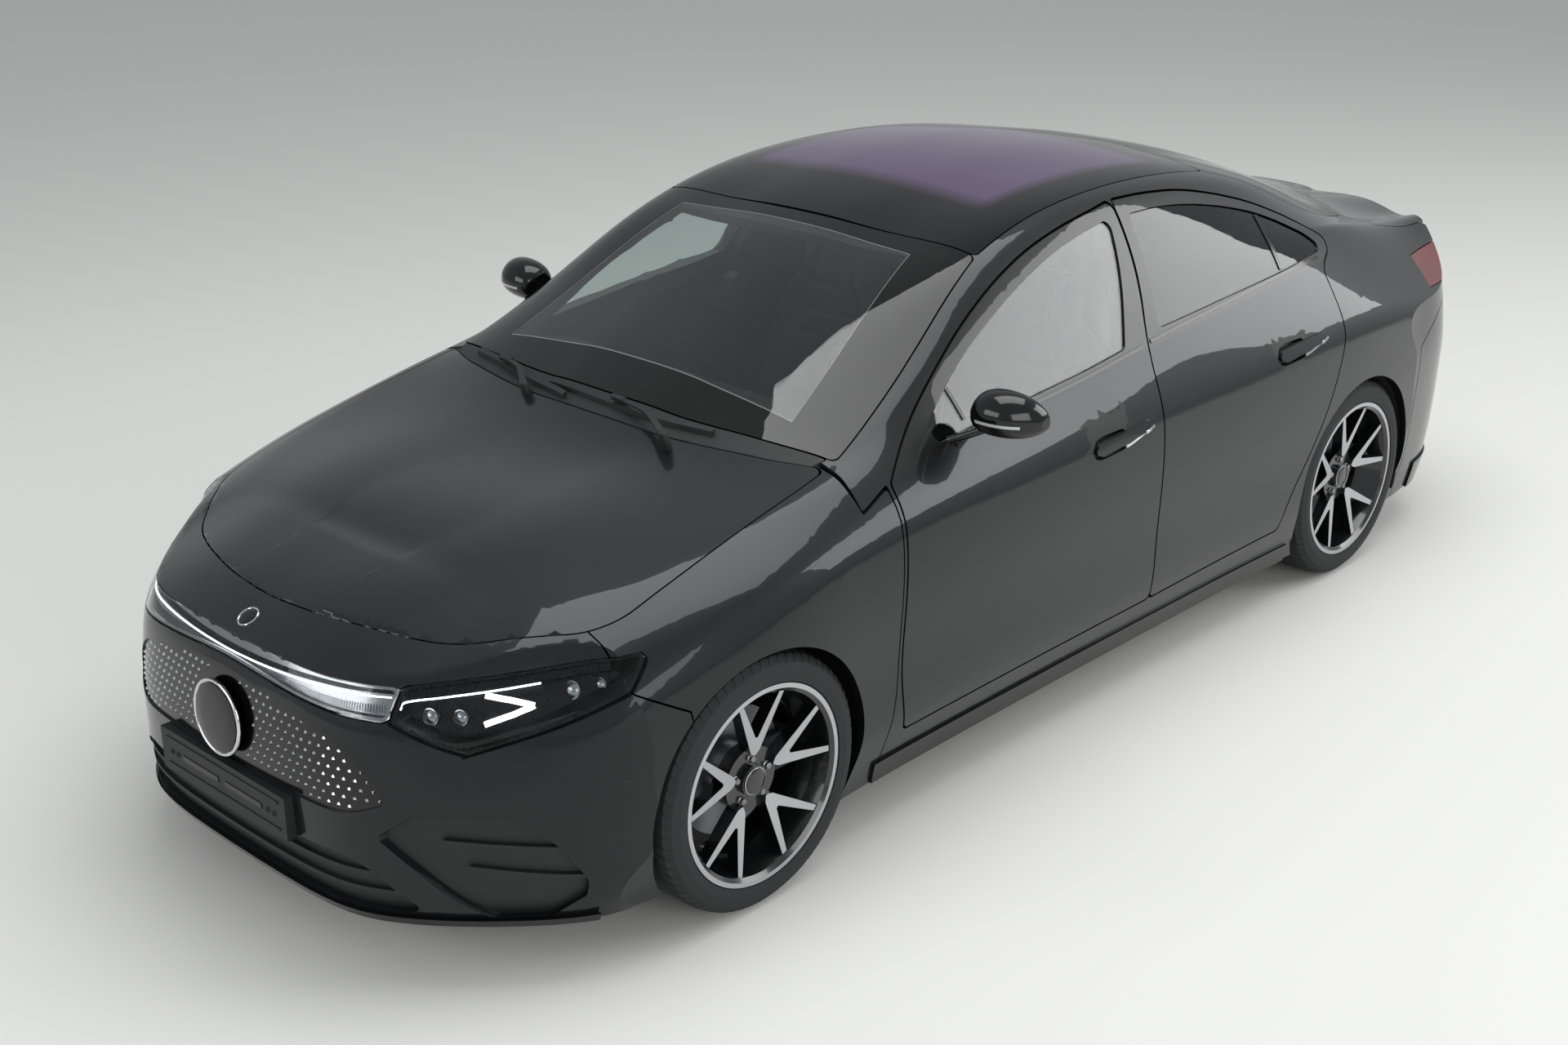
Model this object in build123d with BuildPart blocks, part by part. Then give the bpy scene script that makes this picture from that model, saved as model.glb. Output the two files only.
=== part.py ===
from build123d import *
import math
import os

# Driving dimensions in millimetres
LENGTH = 4723
WIDTH = 1855
HEIGHT = 1468
WHEELBASE = 2790
FRONT_OVERHANG = 905
HALF_TRACK = 795
TYRE_RADIUS = 331
TYRE_WIDTH = 225
RIM_RADIUS = 258
ARCH_RADIUS = 352
LINER_FRONT_RADIUS = 396
LINER_REAR_RADIUS = 360
GROUND_CLEARANCE = 150
SKIN = 25
FLANGE = 14
FLANGE_STEP = 12
LENS_WALL = 6
LAMP_DEPTH = 40
LAMP_BACK = 60
RECESS = 18
RECESS_BACK = 32
TRIM_WALL = 12
DOOR_DEPTH = 45
DOOR_INNER_DEPTH = 105
PILLAR_DEPTH = 88
SHUT_GAP = 6
PANEL_GAP = 4
SEAT = 0.3
KINGPIN_X = 700
COLUMN_TILT = 22

FRONT_AXLE = FRONT_OVERHANG - LENGTH / 2
REAR_AXLE = FRONT_AXLE + WHEELBASE
STRETCH_Y = WHEELBASE / 2790
STRETCH_X = WIDTH / 1855
STRETCH_Z = HEIGHT / 1468

os.makedirs("parts", exist_ok=True)

# Body shape
# Each line runs along the car: distance behind the front axle, then half width and height
FEATURE_LINES = {
    "floor_edge": {
        -1000: (820, 150), -360: (850, 150), 0: (880, 150), 450: (862, 150), 1050: (858, 150),
        1700: (862, 150), 2350: (872, 150), 2790: (885, 150), 3150: (868, 150), 3950: (820, 150),
    },
    "sill": {
        -1000: (860, 300), -360: (885, 300), 0: (908, 300), 450: (898, 300), 1050: (893, 300),
        1700: (895, 300), 2350: (905, 300), 2790: (918, 300), 3150: (900, 300), 3950: (850, 300),
    },
    "waist": {
        -1000: (850, 480), -360: (893, 480), 0: (920, 480), 450: (908, 480), 1050: (904, 480),
        1700: (906, 480), 2350: (916, 480), 2790: (926, 480), 3150: (912, 480), 3950: (860, 480),
    },
    "flank": {
        -1000: (800, 560), -700: (835, 590), -360: (886, 630), 0: (922, 640), 450: (914, 640),
        1050: (911, 640), 1700: (913, 640), 2350: (923, 640), 2790: (927.5, 640), 3150: (916, 640),
        3950: (860, 640),
    },
    "flank_top": {
        -1000: (740, 590), -700: (790, 625), -360: (856, 715), 0: (905, 760), 450: (904, 785),
        1050: (903, 795), 1700: (906, 800), 2350: (916, 805), 2790: (920, 800), 3150: (905, 790),
        3950: (830, 770),
    },
    "shoulder": {
        -1000: (670, 600), -700: (735, 665), -360: (803, 768), 0: (862, 832), 450: (872, 875),
        1050: (872, 895), 1700: (878, 905), 2350: (882, 915), 2790: (882, 915), 3150: (860, 895),
        3600: (805, 870), 3950: (750, 850),
    },
    "belt": {
        -1000: (600, 610), -700: (655, 695), -360: (735, 803), 0: (780, 880), 250: (792, 925),
        450: (800, 950), 1050: (815, 990), 1700: (820, 1035), 2350: (790, 1075), 2790: (752, 1090),
        3150: (725, 1040), 3600: (690, 985), 3950: (640, 950),
    },
    "pillar": {
        -1000: (500, 620), -700: (560, 722), -360: (640, 832), 0: (700, 900), 250: (718, 948),
        450: (735, 985), 750: (730, 1075), 1050: (730, 1150), 1400: (730, 1200), 1700: (726, 1220),
        2350: (702, 1200), 2790: (680, 1150), 3150: (620, 1085), 3600: (560, 1010), 3950: (520, 975),
    },
    "rail": {
        -1000: (400, 625), -700: (450, 752), -360: (520, 850), 0: (580, 912), 250: (600, 955),
        450: (660, 1008), 750: (675, 1130), 1050: (650, 1270), 1400: (633, 1345), 1700: (625, 1365),
        2050: (620, 1350), 2350: (612, 1310), 2790: (590, 1205), 3150: (500, 1110), 3600: (430, 1025),
        3950: (400, 985),
    },
    "roof_edge": {
        -1000: (280, 628), -700: (310, 781), -360: (370, 869), 0: (410, 926), 250: (440, 963),
        450: (520, 1035), 750: (560, 1175), 1050: (560, 1325), 1400: (548, 1405), 1700: (540, 1423),
        2050: (532, 1408), 2350: (520, 1368), 2790: (480, 1255), 3150: (380, 1142), 3600: (310, 1038),
        3950: (280, 997),
    },
    "roof_quarter": {
        -1000: (140, 629), -700: (155, 795), -360: (190, 872), 0: (210, 927), 250: (225, 966),
        450: (270, 1062), 750: (290, 1208), 1050: (290, 1348), 1400: (285, 1435), 1700: (280, 1457),
        2050: (275, 1442), 2350: (265, 1398), 2790: (245, 1290), 3150: (200, 1178), 3600: (160, 1050),
        3950: (140, 1005),
    },
    "crown": {
        -1000: (0, 630), -700: (0, 797), -360: (0, 870), 0: (0, 925), 200: (0, 954),
        450: (0, 1075), 750: (0, 1222), 1050: (0, 1360), 1400: (0, 1447), 1650: (0, 1468),
        2000: (0, 1455), 2400: (0, 1403), 2900: (0, 1276), 3300: (0, 1138), 3600: (0, 1056),
        3950: (0, 1008),
    },
}
STATIONS = (-1000, -700, -400, -100, 200, 340, 480, 680, 950, 1300, 1700, 2150, 2600, 3000, 3450, 3950)

# Share of each section's length at which the lines cross it
SECTION_PARAMETERS = (0, 0.08, 0.18, 0.26, 0.34, 0.41, 0.48, 0.58, 0.68, 0.76, 0.88, 1)
NOSE_PARAMETERS = (0, 0.15, 0.28, 0.37, 0.43, 0.48, 0.52, 0.57, 0.63, 0.72, 0.85, 1)
TAIL_PARAMETERS = (0, 0.12, 0.32, 0.41, 0.47, 0.53, 0.59, 0.68, 0.88, 1)

# Nose and tail in plan at each height
# Nose at the centre, at 486 and at 742 out, half width at -360, half width at 3150, tail at 742, at 486 and at the centre
PLAN_ROWS = {
    100: (-850, -790, -580, 858, 868, 3500, 3630, 3690),
    200: (-882, -812, -600, 872, 882, 3545, 3685, 3750),
    300: (-893, -818, -603, 884, 900, 3580, 3715, 3785),
    390: (-897, -817, -597, 888, 908, 3595, 3730, 3801),
    480: (-898, -812, -585, 891, 912, 3605, 3742, 3812),
    560: (-893, -800, -563, 888, 914, 3610, 3746, 3816),
    640: (-884, -782, -535, 884, 915, 3612, 3748, 3818),
    713: (-858, -738, -470, 866, 910, 3600, 3738, 3808),
    780: (-835, -690, -400, 850, 900, 3585, 3722, 3790),
    870: (-820, -650, -340, 845, 890, 3555, 3700, 3762),
    950: (-810, -640, -330, 845, 885, 3530, 3675, 3738),
    1040: (-810, -640, -330, 845, 885, 3515, 3660, 3722),
    1160: (-810, -640, -330, 845, 885, 3515, 3660, 3722),
    1300: (-810, -640, -330, 845, 885, 3515, 3660, 3722),
    1500: (-810, -640, -330, 845, 885, 3515, 3660, 3722),
}


def car_y(y):
    """Distance behind the front axle, stretched between the axles, to the part's own Y."""
    if y < 0:
        return FRONT_AXLE + y
    if y > 2790:
        return REAR_AXLE + y - 2790
    return FRONT_AXLE + y * STRETCH_Y


def along(line, y):
    """Half width and height of one feature line at y, with smooth slopes."""
    ys = sorted(line)
    gaps = [b - a for a, b in zip(ys, ys[1:])]
    i = max(0, min(len(gaps) - 1, sum(1 for k in ys if k <= y) - 1))
    t = (y - ys[i]) / gaps[i]
    result = []
    for axis in (0, 1):
        v = [line[k][axis] for k in ys]
        d = [(v[k + 1] - v[k]) / gaps[k] for k in range(len(gaps))]
        m = [d[0]]
        for k in range(1, len(gaps)):
            m.append((d[k - 1] * gaps[k] + d[k] * gaps[k - 1]) / (gaps[k] + gaps[k - 1]))
        m.append(d[-1])
        start = (2 * t**3 - 3 * t**2 + 1) * v[i] + (t**3 - 2 * t**2 + t) * gaps[i] * m[i]
        end = (3 * t**2 - 2 * t**3) * v[i + 1] + (t**3 - t**2) * gaps[i] * m[i + 1]
        result.append(start + end)
    return (result[0] * STRETCH_X, result[1] * STRETCH_Z)


def shift(points, inset, keep_ends=False):
    """Move each point of a run square to the run, to its left when inset is positive."""
    result = []
    for i, point in enumerate(points):
        if keep_ends and i in (0, len(points) - 1):
            result.append(point)
            continue
        a = points[max(0, i - 1)]
        b = points[min(len(points) - 1, i + 1)]
        tx = b[0] - a[0]
        ty = b[1] - a[1]
        n = math.hypot(tx, ty)
        result.append((point[0] - inset * ty / n, point[1] + inset * tx / n))
    return result


def even_spline(points, parameters, tangents=None):
    """A spline whose points sit at the same parameters in every section, which keeps the lofts light."""
    directions = [Vector(*t) for t in tangents] if tangents else None
    add(Edge.make_spline([Vector(*p) for p in points], tangents=directions, parameters=parameters))


def side_solid(inset=0):
    """The whole body lofted through its cross sections, moved in by inset."""
    faces = []
    for y in STATIONS:
        points = [along(line, y) for line in FEATURE_LINES.values()]
        last = points[-1]
        points = shift(points, inset)
        points[0] = (points[0][0], GROUND_CLEARANCE)
        points[-1] = (0, last[1] - inset)
        with BuildSketch(Plane.XZ.offset(-car_y(y))) as section:
            with BuildLine():
                even_spline(points, SECTION_PARAMETERS, [(0.12, 1), (-1, 0)])
                even_spline([(-x, z) for x, z in points], SECTION_PARAMETERS, [(-0.12, 1), (1, 0)])
                Line((-points[0][0], points[0][1]), points[0])
            make_face()
        faces.append(section.sketch)
    with BuildPart() as solid:
        loft(faces)
    return solid.part


def plan_solid(inset=0):
    """The nose and the tail lofted upwards through plan outlines."""
    faces = []
    for z, (n0, n1, n2, w0, w1, t2, t1, t0) in PLAN_ROWS.items():
        nose = [(1000 + inset, 420), (w0 + 62, 0), (w0, -360), (742, n2), (486, n1), (200, n0 + (n1 - n0) * 0.16)]
        tail = [(1000 + inset, 2800), (w1, 3150), (742, t2), (486, t1), (200, t0 - (t0 - t1) * 0.16)]
        nose = nose + [(-x, y) for x, y in reversed(nose)]
        tail = tail + [(-x, y) for x, y in reversed(tail)]
        nose = [(x * STRETCH_X, car_y(y)) for x, y in shift(nose, -inset, keep_ends=True)]
        tail = [(x * STRETCH_X, car_y(y)) for x, y in shift(tail, inset, keep_ends=True)]
        with BuildSketch(Plane.XY.offset(z * STRETCH_Z)) as row:
            with BuildLine():
                even_spline(nose, NOSE_PARAMETERS)
                Line(nose[-1], tail[-1])
                even_spline(tail, TAIL_PARAMETERS)
                Line(nose[0], tail[0])
            make_face()
        faces.append(row.sketch)
    with BuildPart() as solid:
        loft(faces)
    return solid.part


# Cutting outlines
def rounded(points, grow=0, corner=20):
    """Lines and arcs round a closed run of points, moved outwards by grow, as one wire in the open line builder."""
    area = sum(a[0] * b[1] - b[0] * a[1] for a, b in zip(points, points[1:] + points[:1]))
    if area < 0:
        points = points[::-1]
    count = len(points)
    moved = []
    for i in range(count):
        a, p, b = points[i - 1], points[i], points[(i + 1) % count]
        ux, uy = p[0] - a[0], p[1] - a[1]
        wx, wy = b[0] - p[0], b[1] - p[1]
        nu, nw = math.hypot(ux, uy), math.hypot(wx, wy)
        sx, sy = uy / nu + wy / nw, -ux / nu - wx / nw
        scale = 2 / (sx * sx + sy * sy)
        moved.append((p[0] + grow * sx * scale, p[1] + grow * sy * scale))
    ends = []
    for i in range(count):
        a, p, b = moved[i - 1], moved[i], moved[(i + 1) % count]
        ux, uy = a[0] - p[0], a[1] - p[1]
        wx, wy = b[0] - p[0], b[1] - p[1]
        nu, nw = math.hypot(ux, uy), math.hypot(wx, wy)
        ux, uy, wx, wy = ux / nu, uy / nu, wx / nw, wy / nw
        turn = math.pi - math.acos(max(-1, min(1, ux * wx + uy * wy)))
        reach = 0.46 * min(nu, nw)
        if turn > math.radians(32):
            reach = min(reach, corner * math.tan(turn / 2))
        if turn < math.radians(0.4):
            ends.append((p, None, p))
            continue
        bx, by = ux + wx, uy + wy
        nb = math.hypot(bx, by)
        middle = reach * math.tan(turn / 4)
        start = (p[0] + ux * reach, p[1] + uy * reach)
        finish = (p[0] + wx * reach, p[1] + wy * reach)
        ends.append((start, (p[0] + bx / nb * middle, p[1] + by / nb * middle), finish))
    for i in range(count):
        start, middle, finish = ends[i]
        Line(ends[i - 1][2], start)
        if middle:
            ThreePointArc(start, middle, finish)


def side_prism(points, x0, x1, grow=0, corner=20):
    """A side view outline (distance behind the front axle, height) pushed across the car."""
    points = [(car_y(y), z * STRETCH_Z) for y, z in points]
    with BuildPart() as prism:
        with BuildSketch(Plane.YZ.offset(x0)):
            with BuildLine():
                rounded(points, grow, corner)
            make_face()
        extrude(amount=x1 - x0)
    return prism.part


def plan_prism(points, z0, z1, grow=0, corner=20):
    """A plan view outline (half width, distance behind the front axle) pushed upwards."""
    points = [(x * STRETCH_X, car_y(y)) for x, y in points]
    with BuildPart() as prism:
        with BuildSketch(Plane.XY.offset(z0)):
            with BuildLine():
                rounded(points, grow, corner)
            make_face()
        extrude(amount=z1 - z0)
    return prism.part


def front_prism(points, y0, y1, grow=0, corner=12):
    """A front view outline (half width, height) pushed along the car."""
    points = [(x * STRETCH_X, z * STRETCH_Z) for x, z in points]
    with BuildPart() as prism:
        with BuildSketch(Plane.XZ.offset(-car_y(y0))):
            with BuildLine():
                rounded(points, grow, corner)
            make_face()
        extrude(amount=-(car_y(y1) - car_y(y0)))
    return prism.part


def both_sides(points):
    """Points on the left joined to the same points mirrored to the right."""
    return points + [(-x, y) for x, y in reversed(points) if x > 0]


def block(x0, x1, y0, y1, z0, z1):
    """A plain box between two corners, with y measured behind the front axle."""
    with BuildPart() as body:
        with Locations(((x0 + x1) / 2, (car_y(y0) + car_y(y1)) / 2, (z0 + z1) / 2)):
            Box(x1 - x0, car_y(y1) - car_y(y0), z1 - z0)
    return body.part


def axle_cylinder(radius, x0, x1, y, z=TYRE_RADIUS):
    """A cylinder across the car."""
    with BuildPart() as body:
        with BuildSketch(Plane.YZ.offset(x0)):
            with Locations((y, z)):
                Circle(radius)
        extrude(amount=x1 - x0)
    return body.part


def group(*parts):
    """One node of separate solids."""
    return Part(children=[s for part in parts for s in part.solids()])


def mirrored(part):
    return group(*[s.mirror(Plane.YZ) for s in part.solids()])


def keep_large(part, limit=20000):
    """The solids of a cut above a small size."""
    return group(*[s for s in part.solids() if s.volume > limit])


def save(part, name):
    part.label = name
    export_step(part, "parts/" + name + ".step")


def envelope(inset):
    """The whole outer body moved in by inset."""
    return side_solid(inset) & plan_solid(inset)


S0 = side_solid()
S_FLANGE = side_solid(FLANGE)
S_DOOR = side_solid(DOOR_DEPTH)
S_SEAL = side_solid(DOOR_DEPTH + SHUT_GAP)
S_RING = side_solid(PILLAR_DEPTH)
S_TRIM = side_solid(DOOR_INNER_DEPTH)
S_SKIN = side_solid(SKIN)
OUTER = S0 & plan_solid()
INNER = S_SKIN & plan_solid(SKIN)
SEAT_BODY = envelope(-SEAT)

# Side view outlines
FRONT_DOOR = [
    (525, 279), (495, 420), (495, 599), (512, 800), (528, 930), (640, 1000), (800, 1105), (960, 1203),
    (1130, 1281), (1300, 1335), (1480, 1368), (1738, 1392), (1695, 1200), (1639, 1026), (1623, 651), (1633, 279),
]
REAR_DOOR = [
    (1639, 279), (1629, 651), (1645, 1026), (1706, 1200), (1750, 1392), (1900, 1386), (2086, 1366), (2250, 1330),
    (2450, 1272), (2620, 1203), (2710, 1157), (2765, 1116), (2745, 1088), (2690, 1068), (2655, 1040), (2640, 880),
    (2560, 680), (2454, 502), (2370, 400), (2325, 290),
]
FRONT_GLASS = [
    (735, 975), (735, 1020), (792, 1054), (945, 1152), (1143, 1239), (1290, 1288), (1400, 1317), (1550, 1343),
    (1693, 1358), (1625, 1205), (1545, 1042), (1359, 1023), (1107, 1005), (905, 988),
]
REAR_GLASS = [
    (1786, 1354), (1930, 1350), (2086, 1332), (2270, 1296), (2446, 1247), (2570, 1198), (2660, 1152), (2705, 1114),
    (2690, 1094), (2429, 1083), (2080, 1075), (1715, 1063), (1748, 1200),
]
FRONT_OPENING = [
    (600, 330), (560, 600), (575, 900), (720, 1000), (880, 1108), (1040, 1196), (1180, 1258), (1330, 1303),
    (1480, 1332), (1670, 1350), (1610, 1180), (1560, 1026), (1560, 651), (1560, 330),
]
REAR_OPENING = [
    (1690, 330), (1690, 651), (1690, 1026), (1745, 1180), (1800, 1350), (1900, 1346), (2040, 1332), (2220, 1294),
    (2400, 1236), (2540, 1176), (2590, 1090), (2590, 900), (2510, 720), (2400, 540), (2310, 440), (2250, 340),
]
FRONT_TRIM = [(614, 344), (574, 600), (589, 880), (700, 940), (1540, 940), (1546, 651), (1546, 344)]
REAR_TRIM = [
    (1704, 344), (1704, 651), (1704, 960), (2560, 960), (2560, 905), (2490, 735), (2390, 555), (2300, 455), (2240, 354),
]
HANDLE = [(1300, 818), (1318, 842), (1560, 852), (1583, 840), (1565, 824), (1330, 804)]
HANDLE_POCKET = [
    (1290, 822), (1312, 850), (1340, 858), (1440, 856), (1462, 832), (1440, 798), (1330, 794), (1305, 802),
]
REAR_HANDLE_SHIFT = (948, 48)

# Plan view outlines
BONNET = both_sides([
    (0, -726), (195, -708), (359, -662), (495, -602), (610, -495), (712, -384), (743, -299), (742, -118),
    (737, 74), (729, 300), (722, 400), (600, 345), (400, 300), (200, 280), (0, 276),
])
WINDSCREEN = both_sides([
    (0, 350), (300, 362), (560, 398), (720, 440), (700, 560), (655, 820), (585, 1140), (300, 1108),
    (0, 1098),
])
ROOF_GLASS = both_sides([(300, 1112), (583, 1146), (560, 1400), (545, 1700), (532, 2050), (518, 2340), (300, 2372)])
REAR_WINDOW = both_sides([
    (300, 2378), (516, 2346), (560, 2600), (600, 2800), (600, 3000), (560, 3170), (300, 3230),
])
BOOT_PLAN = both_sides([(300, 3250), (570, 3200), (650, 3260), (670, 3420), (670, 3990), (300, 3990)])
COWL = both_sides([
    (0, 281), (200, 285), (400, 305), (600, 350), (690, 388), (700, 428), (560, 393), (300, 357),
    (0, 345),
])


FRAME_OUTLINE = both_sides([
    (0, 1020), (300, 1030), (550, 1065), (574, 1148), (554, 1400), (539, 1700), (526, 2050), (512, 2340),
    (510, 2460), (300, 2470), (0, 2475),
])


# Front view outlines of the lamps, the grille and the intakes
HEADLAMP = [
    (495, 719), (636, 736), (805, 766), (930, 776), (930, 480), (640, 480), (632, 577), (579, 599),
    (498, 645),
]
HEADLAMP_SIDE = [
    (-1000, 470), (-1000, 830), (-345, 814), (-308, 757), (-374, 702), (-496, 640), (-675, 574), (-800, 526),
]
LIGHT_BAR = both_sides([(0, 731), (120, 729), (337, 723), (492, 716), (495, 648), (300, 664), (126, 677), (0, 682)])
GRILLE = both_sides([
    (0, 662), (150, 650), (376, 601), (450, 545), (508, 458), (415, 421), (277, 428), (0, 430),
])
SIDE_INTAKE = [(483, 375), (551, 434), (721, 429), (784, 370), (830, 265), (825, 227), (769, 175), (677, 172)]
FINS = (
    [(596, 366), (800, 342), (806, 350), (600, 376)],
    [(640, 300), (824, 268), (828, 277), (644, 311)],
)
LOW_SLATS = (
    both_sides([(0, 282), (478, 282), (470, 272), (0, 272)]),
    both_sides([(0, 238), (520, 238), (528, 228), (0, 228)]),
)
LOW_INTAKE = both_sides([(0, 318), (400, 318), (470, 290), (560, 200), (540, 182), (0, 182)])
TAIL_LAMP = [(664, 962), (760, 966), (880, 940), (930, 905), (860, 868), (760, 860), (664, 866)]
TAIL_BAR = both_sides([(0, 966), (400, 964), (650, 960), (650, 868), (400, 872), (0, 874)])
REAR_PLATE_RECESS = both_sides([(265, 430), (265, 315)])
WIPER_LONG = [(-212, 322), (0, 310), (180, 310), (394, 340), (392, 354), (180, 325), (0, 325), (-210, 337)]
WIPER_SHORT = [(-583, 374), (-330, 322), (-120, 289), (-118, 303), (-328, 337), (-580, 389)]
BOOT_REAR = both_sides([(0, 1300), (700, 1300), (700, 1010), (656, 975), (656, 860), (600, 740), (540, 705), (0, 700)])


# Doors
HANDLE_OUT = side_solid(-6)
HANDLE_IN = side_solid(8)
POCKET_FLOOR = side_solid(24)


def left_door(outline, opening, glass, handle_shift):
    """Outer panel with a thin flange all round, a recessed frame behind it, the inner trim and the handle."""
    skin = (side_prism(outline, 420, 1000) & S0) - S_FLANGE
    frame = (side_prism(outline, 420, 1000, grow=-FLANGE_STEP) & S_FLANGE) - S_DOOR
    shell = (skin + frame) - side_prism(glass, 400, 1000)
    shell = shell - plan_prism(FRAME_OUTLINE, 900, 1600, grow=2 * SHUT_GAP)
    trim = (side_prism(opening, 400, 1000) & S_DOOR) - S_TRIM
    dy, dz = handle_shift
    pocket = [(y + dy, z + dz) for y, z in HANDLE_POCKET]
    handle = [(y + dy, z + dz) for y, z in HANDLE]
    shell = shell - (side_prism(pocket, 800, 1000) - POCKET_FLOOR)
    grip = (side_prism(handle, 800, 1000, corner=8) & HANDLE_OUT) - HANDLE_IN
    return keep_large(shell + trim + grip)


front_door = left_door(FRONT_DOOR, FRONT_TRIM, FRONT_GLASS, (0, 0))
rear_door = left_door(REAR_DOOR, REAR_TRIM, REAR_GLASS, REAR_HANDLE_SHIFT)
S_GLASS_OUT = side_solid(5)
S_GLASS_IN = side_solid(10)
front_glass = (side_prism(FRONT_GLASS, 400, 1000) & S_GLASS_OUT) - S_GLASS_IN
rear_glass = (side_prism(REAR_GLASS, 400, 1000) & S_GLASS_OUT) - S_GLASS_IN
save(front_door, "front_door_left")
save(mirrored(front_door), "front_door_right")
save(rear_door, "rear_door_left")
save(mirrored(rear_door), "rear_door_right")
save(front_glass, "front_door_glass_left")
save(mirrored(front_glass), "front_door_glass_right")
save(rear_glass, "rear_door_glass_left")
save(mirrored(rear_glass), "rear_door_glass_right")


# Body sides
BODY_SIDE = [
    (440, 150), (480, 420), (480, 599), (497, 800), (513, 935), (400, 900), (420, 1020), (1150, 1480),
    (1700, 1500), (2400, 1450), (3300, 1180), (3560, 1010), (3560, 860), (3180, 700), (3160, 360), (3160, 150),
]
side_region = side_prism(BODY_SIDE, 300, 1000, corner=4)
side_shell = (side_region & OUTER) - S_RING
side_shell = side_shell - side_prism(FRONT_DOOR, 300, 1000, grow=SHUT_GAP)
side_shell = side_shell - side_prism(REAR_DOOR, 300, 1000, grow=SHUT_GAP)
side_ring = (side_prism([(480, 200), (520, 935), (1150, 1420), (1700, 1440), (2350, 1400), (2750, 1180), (2760, 900), (2500, 400), (2480, 200)], 300, 1000) & S_SEAL) - S_RING
side_shell = side_shell + side_ring
side_shell = side_shell - side_prism(FRONT_OPENING, 300, 1000)
side_shell = side_shell - side_prism(REAR_OPENING, 300, 1000)
side_shell = side_shell - plan_prism(WINDSCREEN, 100, 1600, grow=PANEL_GAP)
side_shell = side_shell - plan_prism(ROOF_GLASS, 100, 1600, grow=PANEL_GAP)
side_shell = side_shell - plan_prism(REAR_WINDOW, 100, 1600, grow=PANEL_GAP)
side_shell = side_shell - plan_prism(BOOT_PLAN, 100, 1600, grow=PANEL_GAP)
side_shell = side_shell - plan_prism(COWL, 100, 1600, grow=3, corner=4)
side_shell = side_shell - plan_prism(FRAME_OUTLINE, 100, 1600, grow=SEAT)
side_shell = side_shell - front_prism(TAIL_LAMP, 3300, 3990, grow=3)
side_shell = side_shell - axle_cylinder(ARCH_RADIUS, 500, 1000, REAR_AXLE)
side_shell = side_shell - axle_cylinder(LINER_REAR_RADIUS + SEAT, 500, 890, REAR_AXLE)
body_left = keep_large(side_shell)
save(group(body_left, mirrored(body_left)), "body_sides")

# Roof, windscreen and rear window glass
S_GLAZE = side_solid(6)
roof_glass = (plan_prism(ROOF_GLASS, 900, 1600) & S0) - S_GLAZE
windscreen = (plan_prism(WINDSCREEN, 900, 1600) & S0) - S_GLAZE
rear_window = (plan_prism(REAR_WINDOW, 900, 1600) & S0) - S_GLAZE
save(group(windscreen, roof_glass, rear_window), "fixed_glass")

# Headliner frame round the roof glass, holding the glass panels
S_FRAME_OUT = side_solid(6 + SEAT)
S_FRAME_IN = side_solid(30)
frame_window = both_sides([(0, 1180), (480, 1200), (470, 2270), (0, 2290)])
roof_frame = (plan_prism(FRAME_OUTLINE, 900, 1600) & S_FRAME_OUT) - S_FRAME_IN
roof_frame = roof_frame - plan_prism(frame_window, 900, 1600, corner=60)
save(keep_large(roof_frame), "roof_frame")

def lamp_space(grow):
    """The left headlamp's outline seen from the front and from the side, grown all round."""
    front = front_prism(HEADLAMP, -950, -250, grow=grow)
    return front & side_prism(HEADLAMP_SIDE, 480, 950, grow=grow, corner=10)


# Bonnet
bonnet = (plan_prism(BONNET, 690, 1100) & S0) - S_SKIN
save(keep_large(bonnet), "bonnet")

# Front fenders
FENDER = [
    (-372, 1000), (-372, 700), (-237, 621), (-200, 420), (-100, 150), (436, 150), (476, 420), (476, 599),
    (493, 800), (506, 925), (397, 893), (397, 1020), (300, 1020),
]
fender = (side_prism(FENDER, 690, 1000, corner=4) & OUTER) - INNER
fender = fender - plan_prism(BONNET, 600, 1100, grow=PANEL_GAP)
fender = fender - plan_prism(COWL, 600, 1100, grow=3, corner=4)
fender = fender - axle_cylinder(ARCH_RADIUS, 500, 1000, FRONT_AXLE)
fender = fender - lamp_space(3)
fender = keep_large(fender)
save(group(fender, mirrored(fender)), "front_fenders")

# Nose panels
NOSE_SIDE = [
    (-1000, 140), (-1000, 1000), (-376, 1000), (-376, 697), (-241, 617), (-205, 420), (-104, 140),
]
LENS_BACK = envelope(LENS_WALL)
LAMP_FRONT = envelope(LENS_WALL + SEAT)
RECESS_FACE = envelope(RECESS)
RECESS_REAR = envelope(RECESS_BACK)
nose_cut = (side_prism(NOSE_SIDE, -1000, 1000, corner=4) & OUTER) - INNER
nose_cut = nose_cut - plan_prism(BONNET, 600, 1100, grow=PANEL_GAP)
nose_cut = nose_cut - axle_cylinder(ARCH_RADIUS, -1000, 1000, FRONT_AXLE)
bumper = nose_cut - lamp_space(3)
for outline, y1, gap in ((LIGHT_BAR, -600, 3), (GRILLE, -600, 0), (LOW_INTAKE, -600, 0), (SIDE_INTAKE, -300, 0)):
    bumper = bumper - front_prism(outline, -950, y1, grow=gap)
bumper = bumper - mirrored(lamp_space(3))
bumper = bumper - front_prism([(-x, z) for x, z in SIDE_INTAKE], -950, -300)
nose_pieces = keep_large(bumper).solids().sort_by(Axis.Z)
save(group(nose_pieces[0]), "front_bumper")
save(group(nose_pieces[-1]), "nose_panel")

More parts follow.
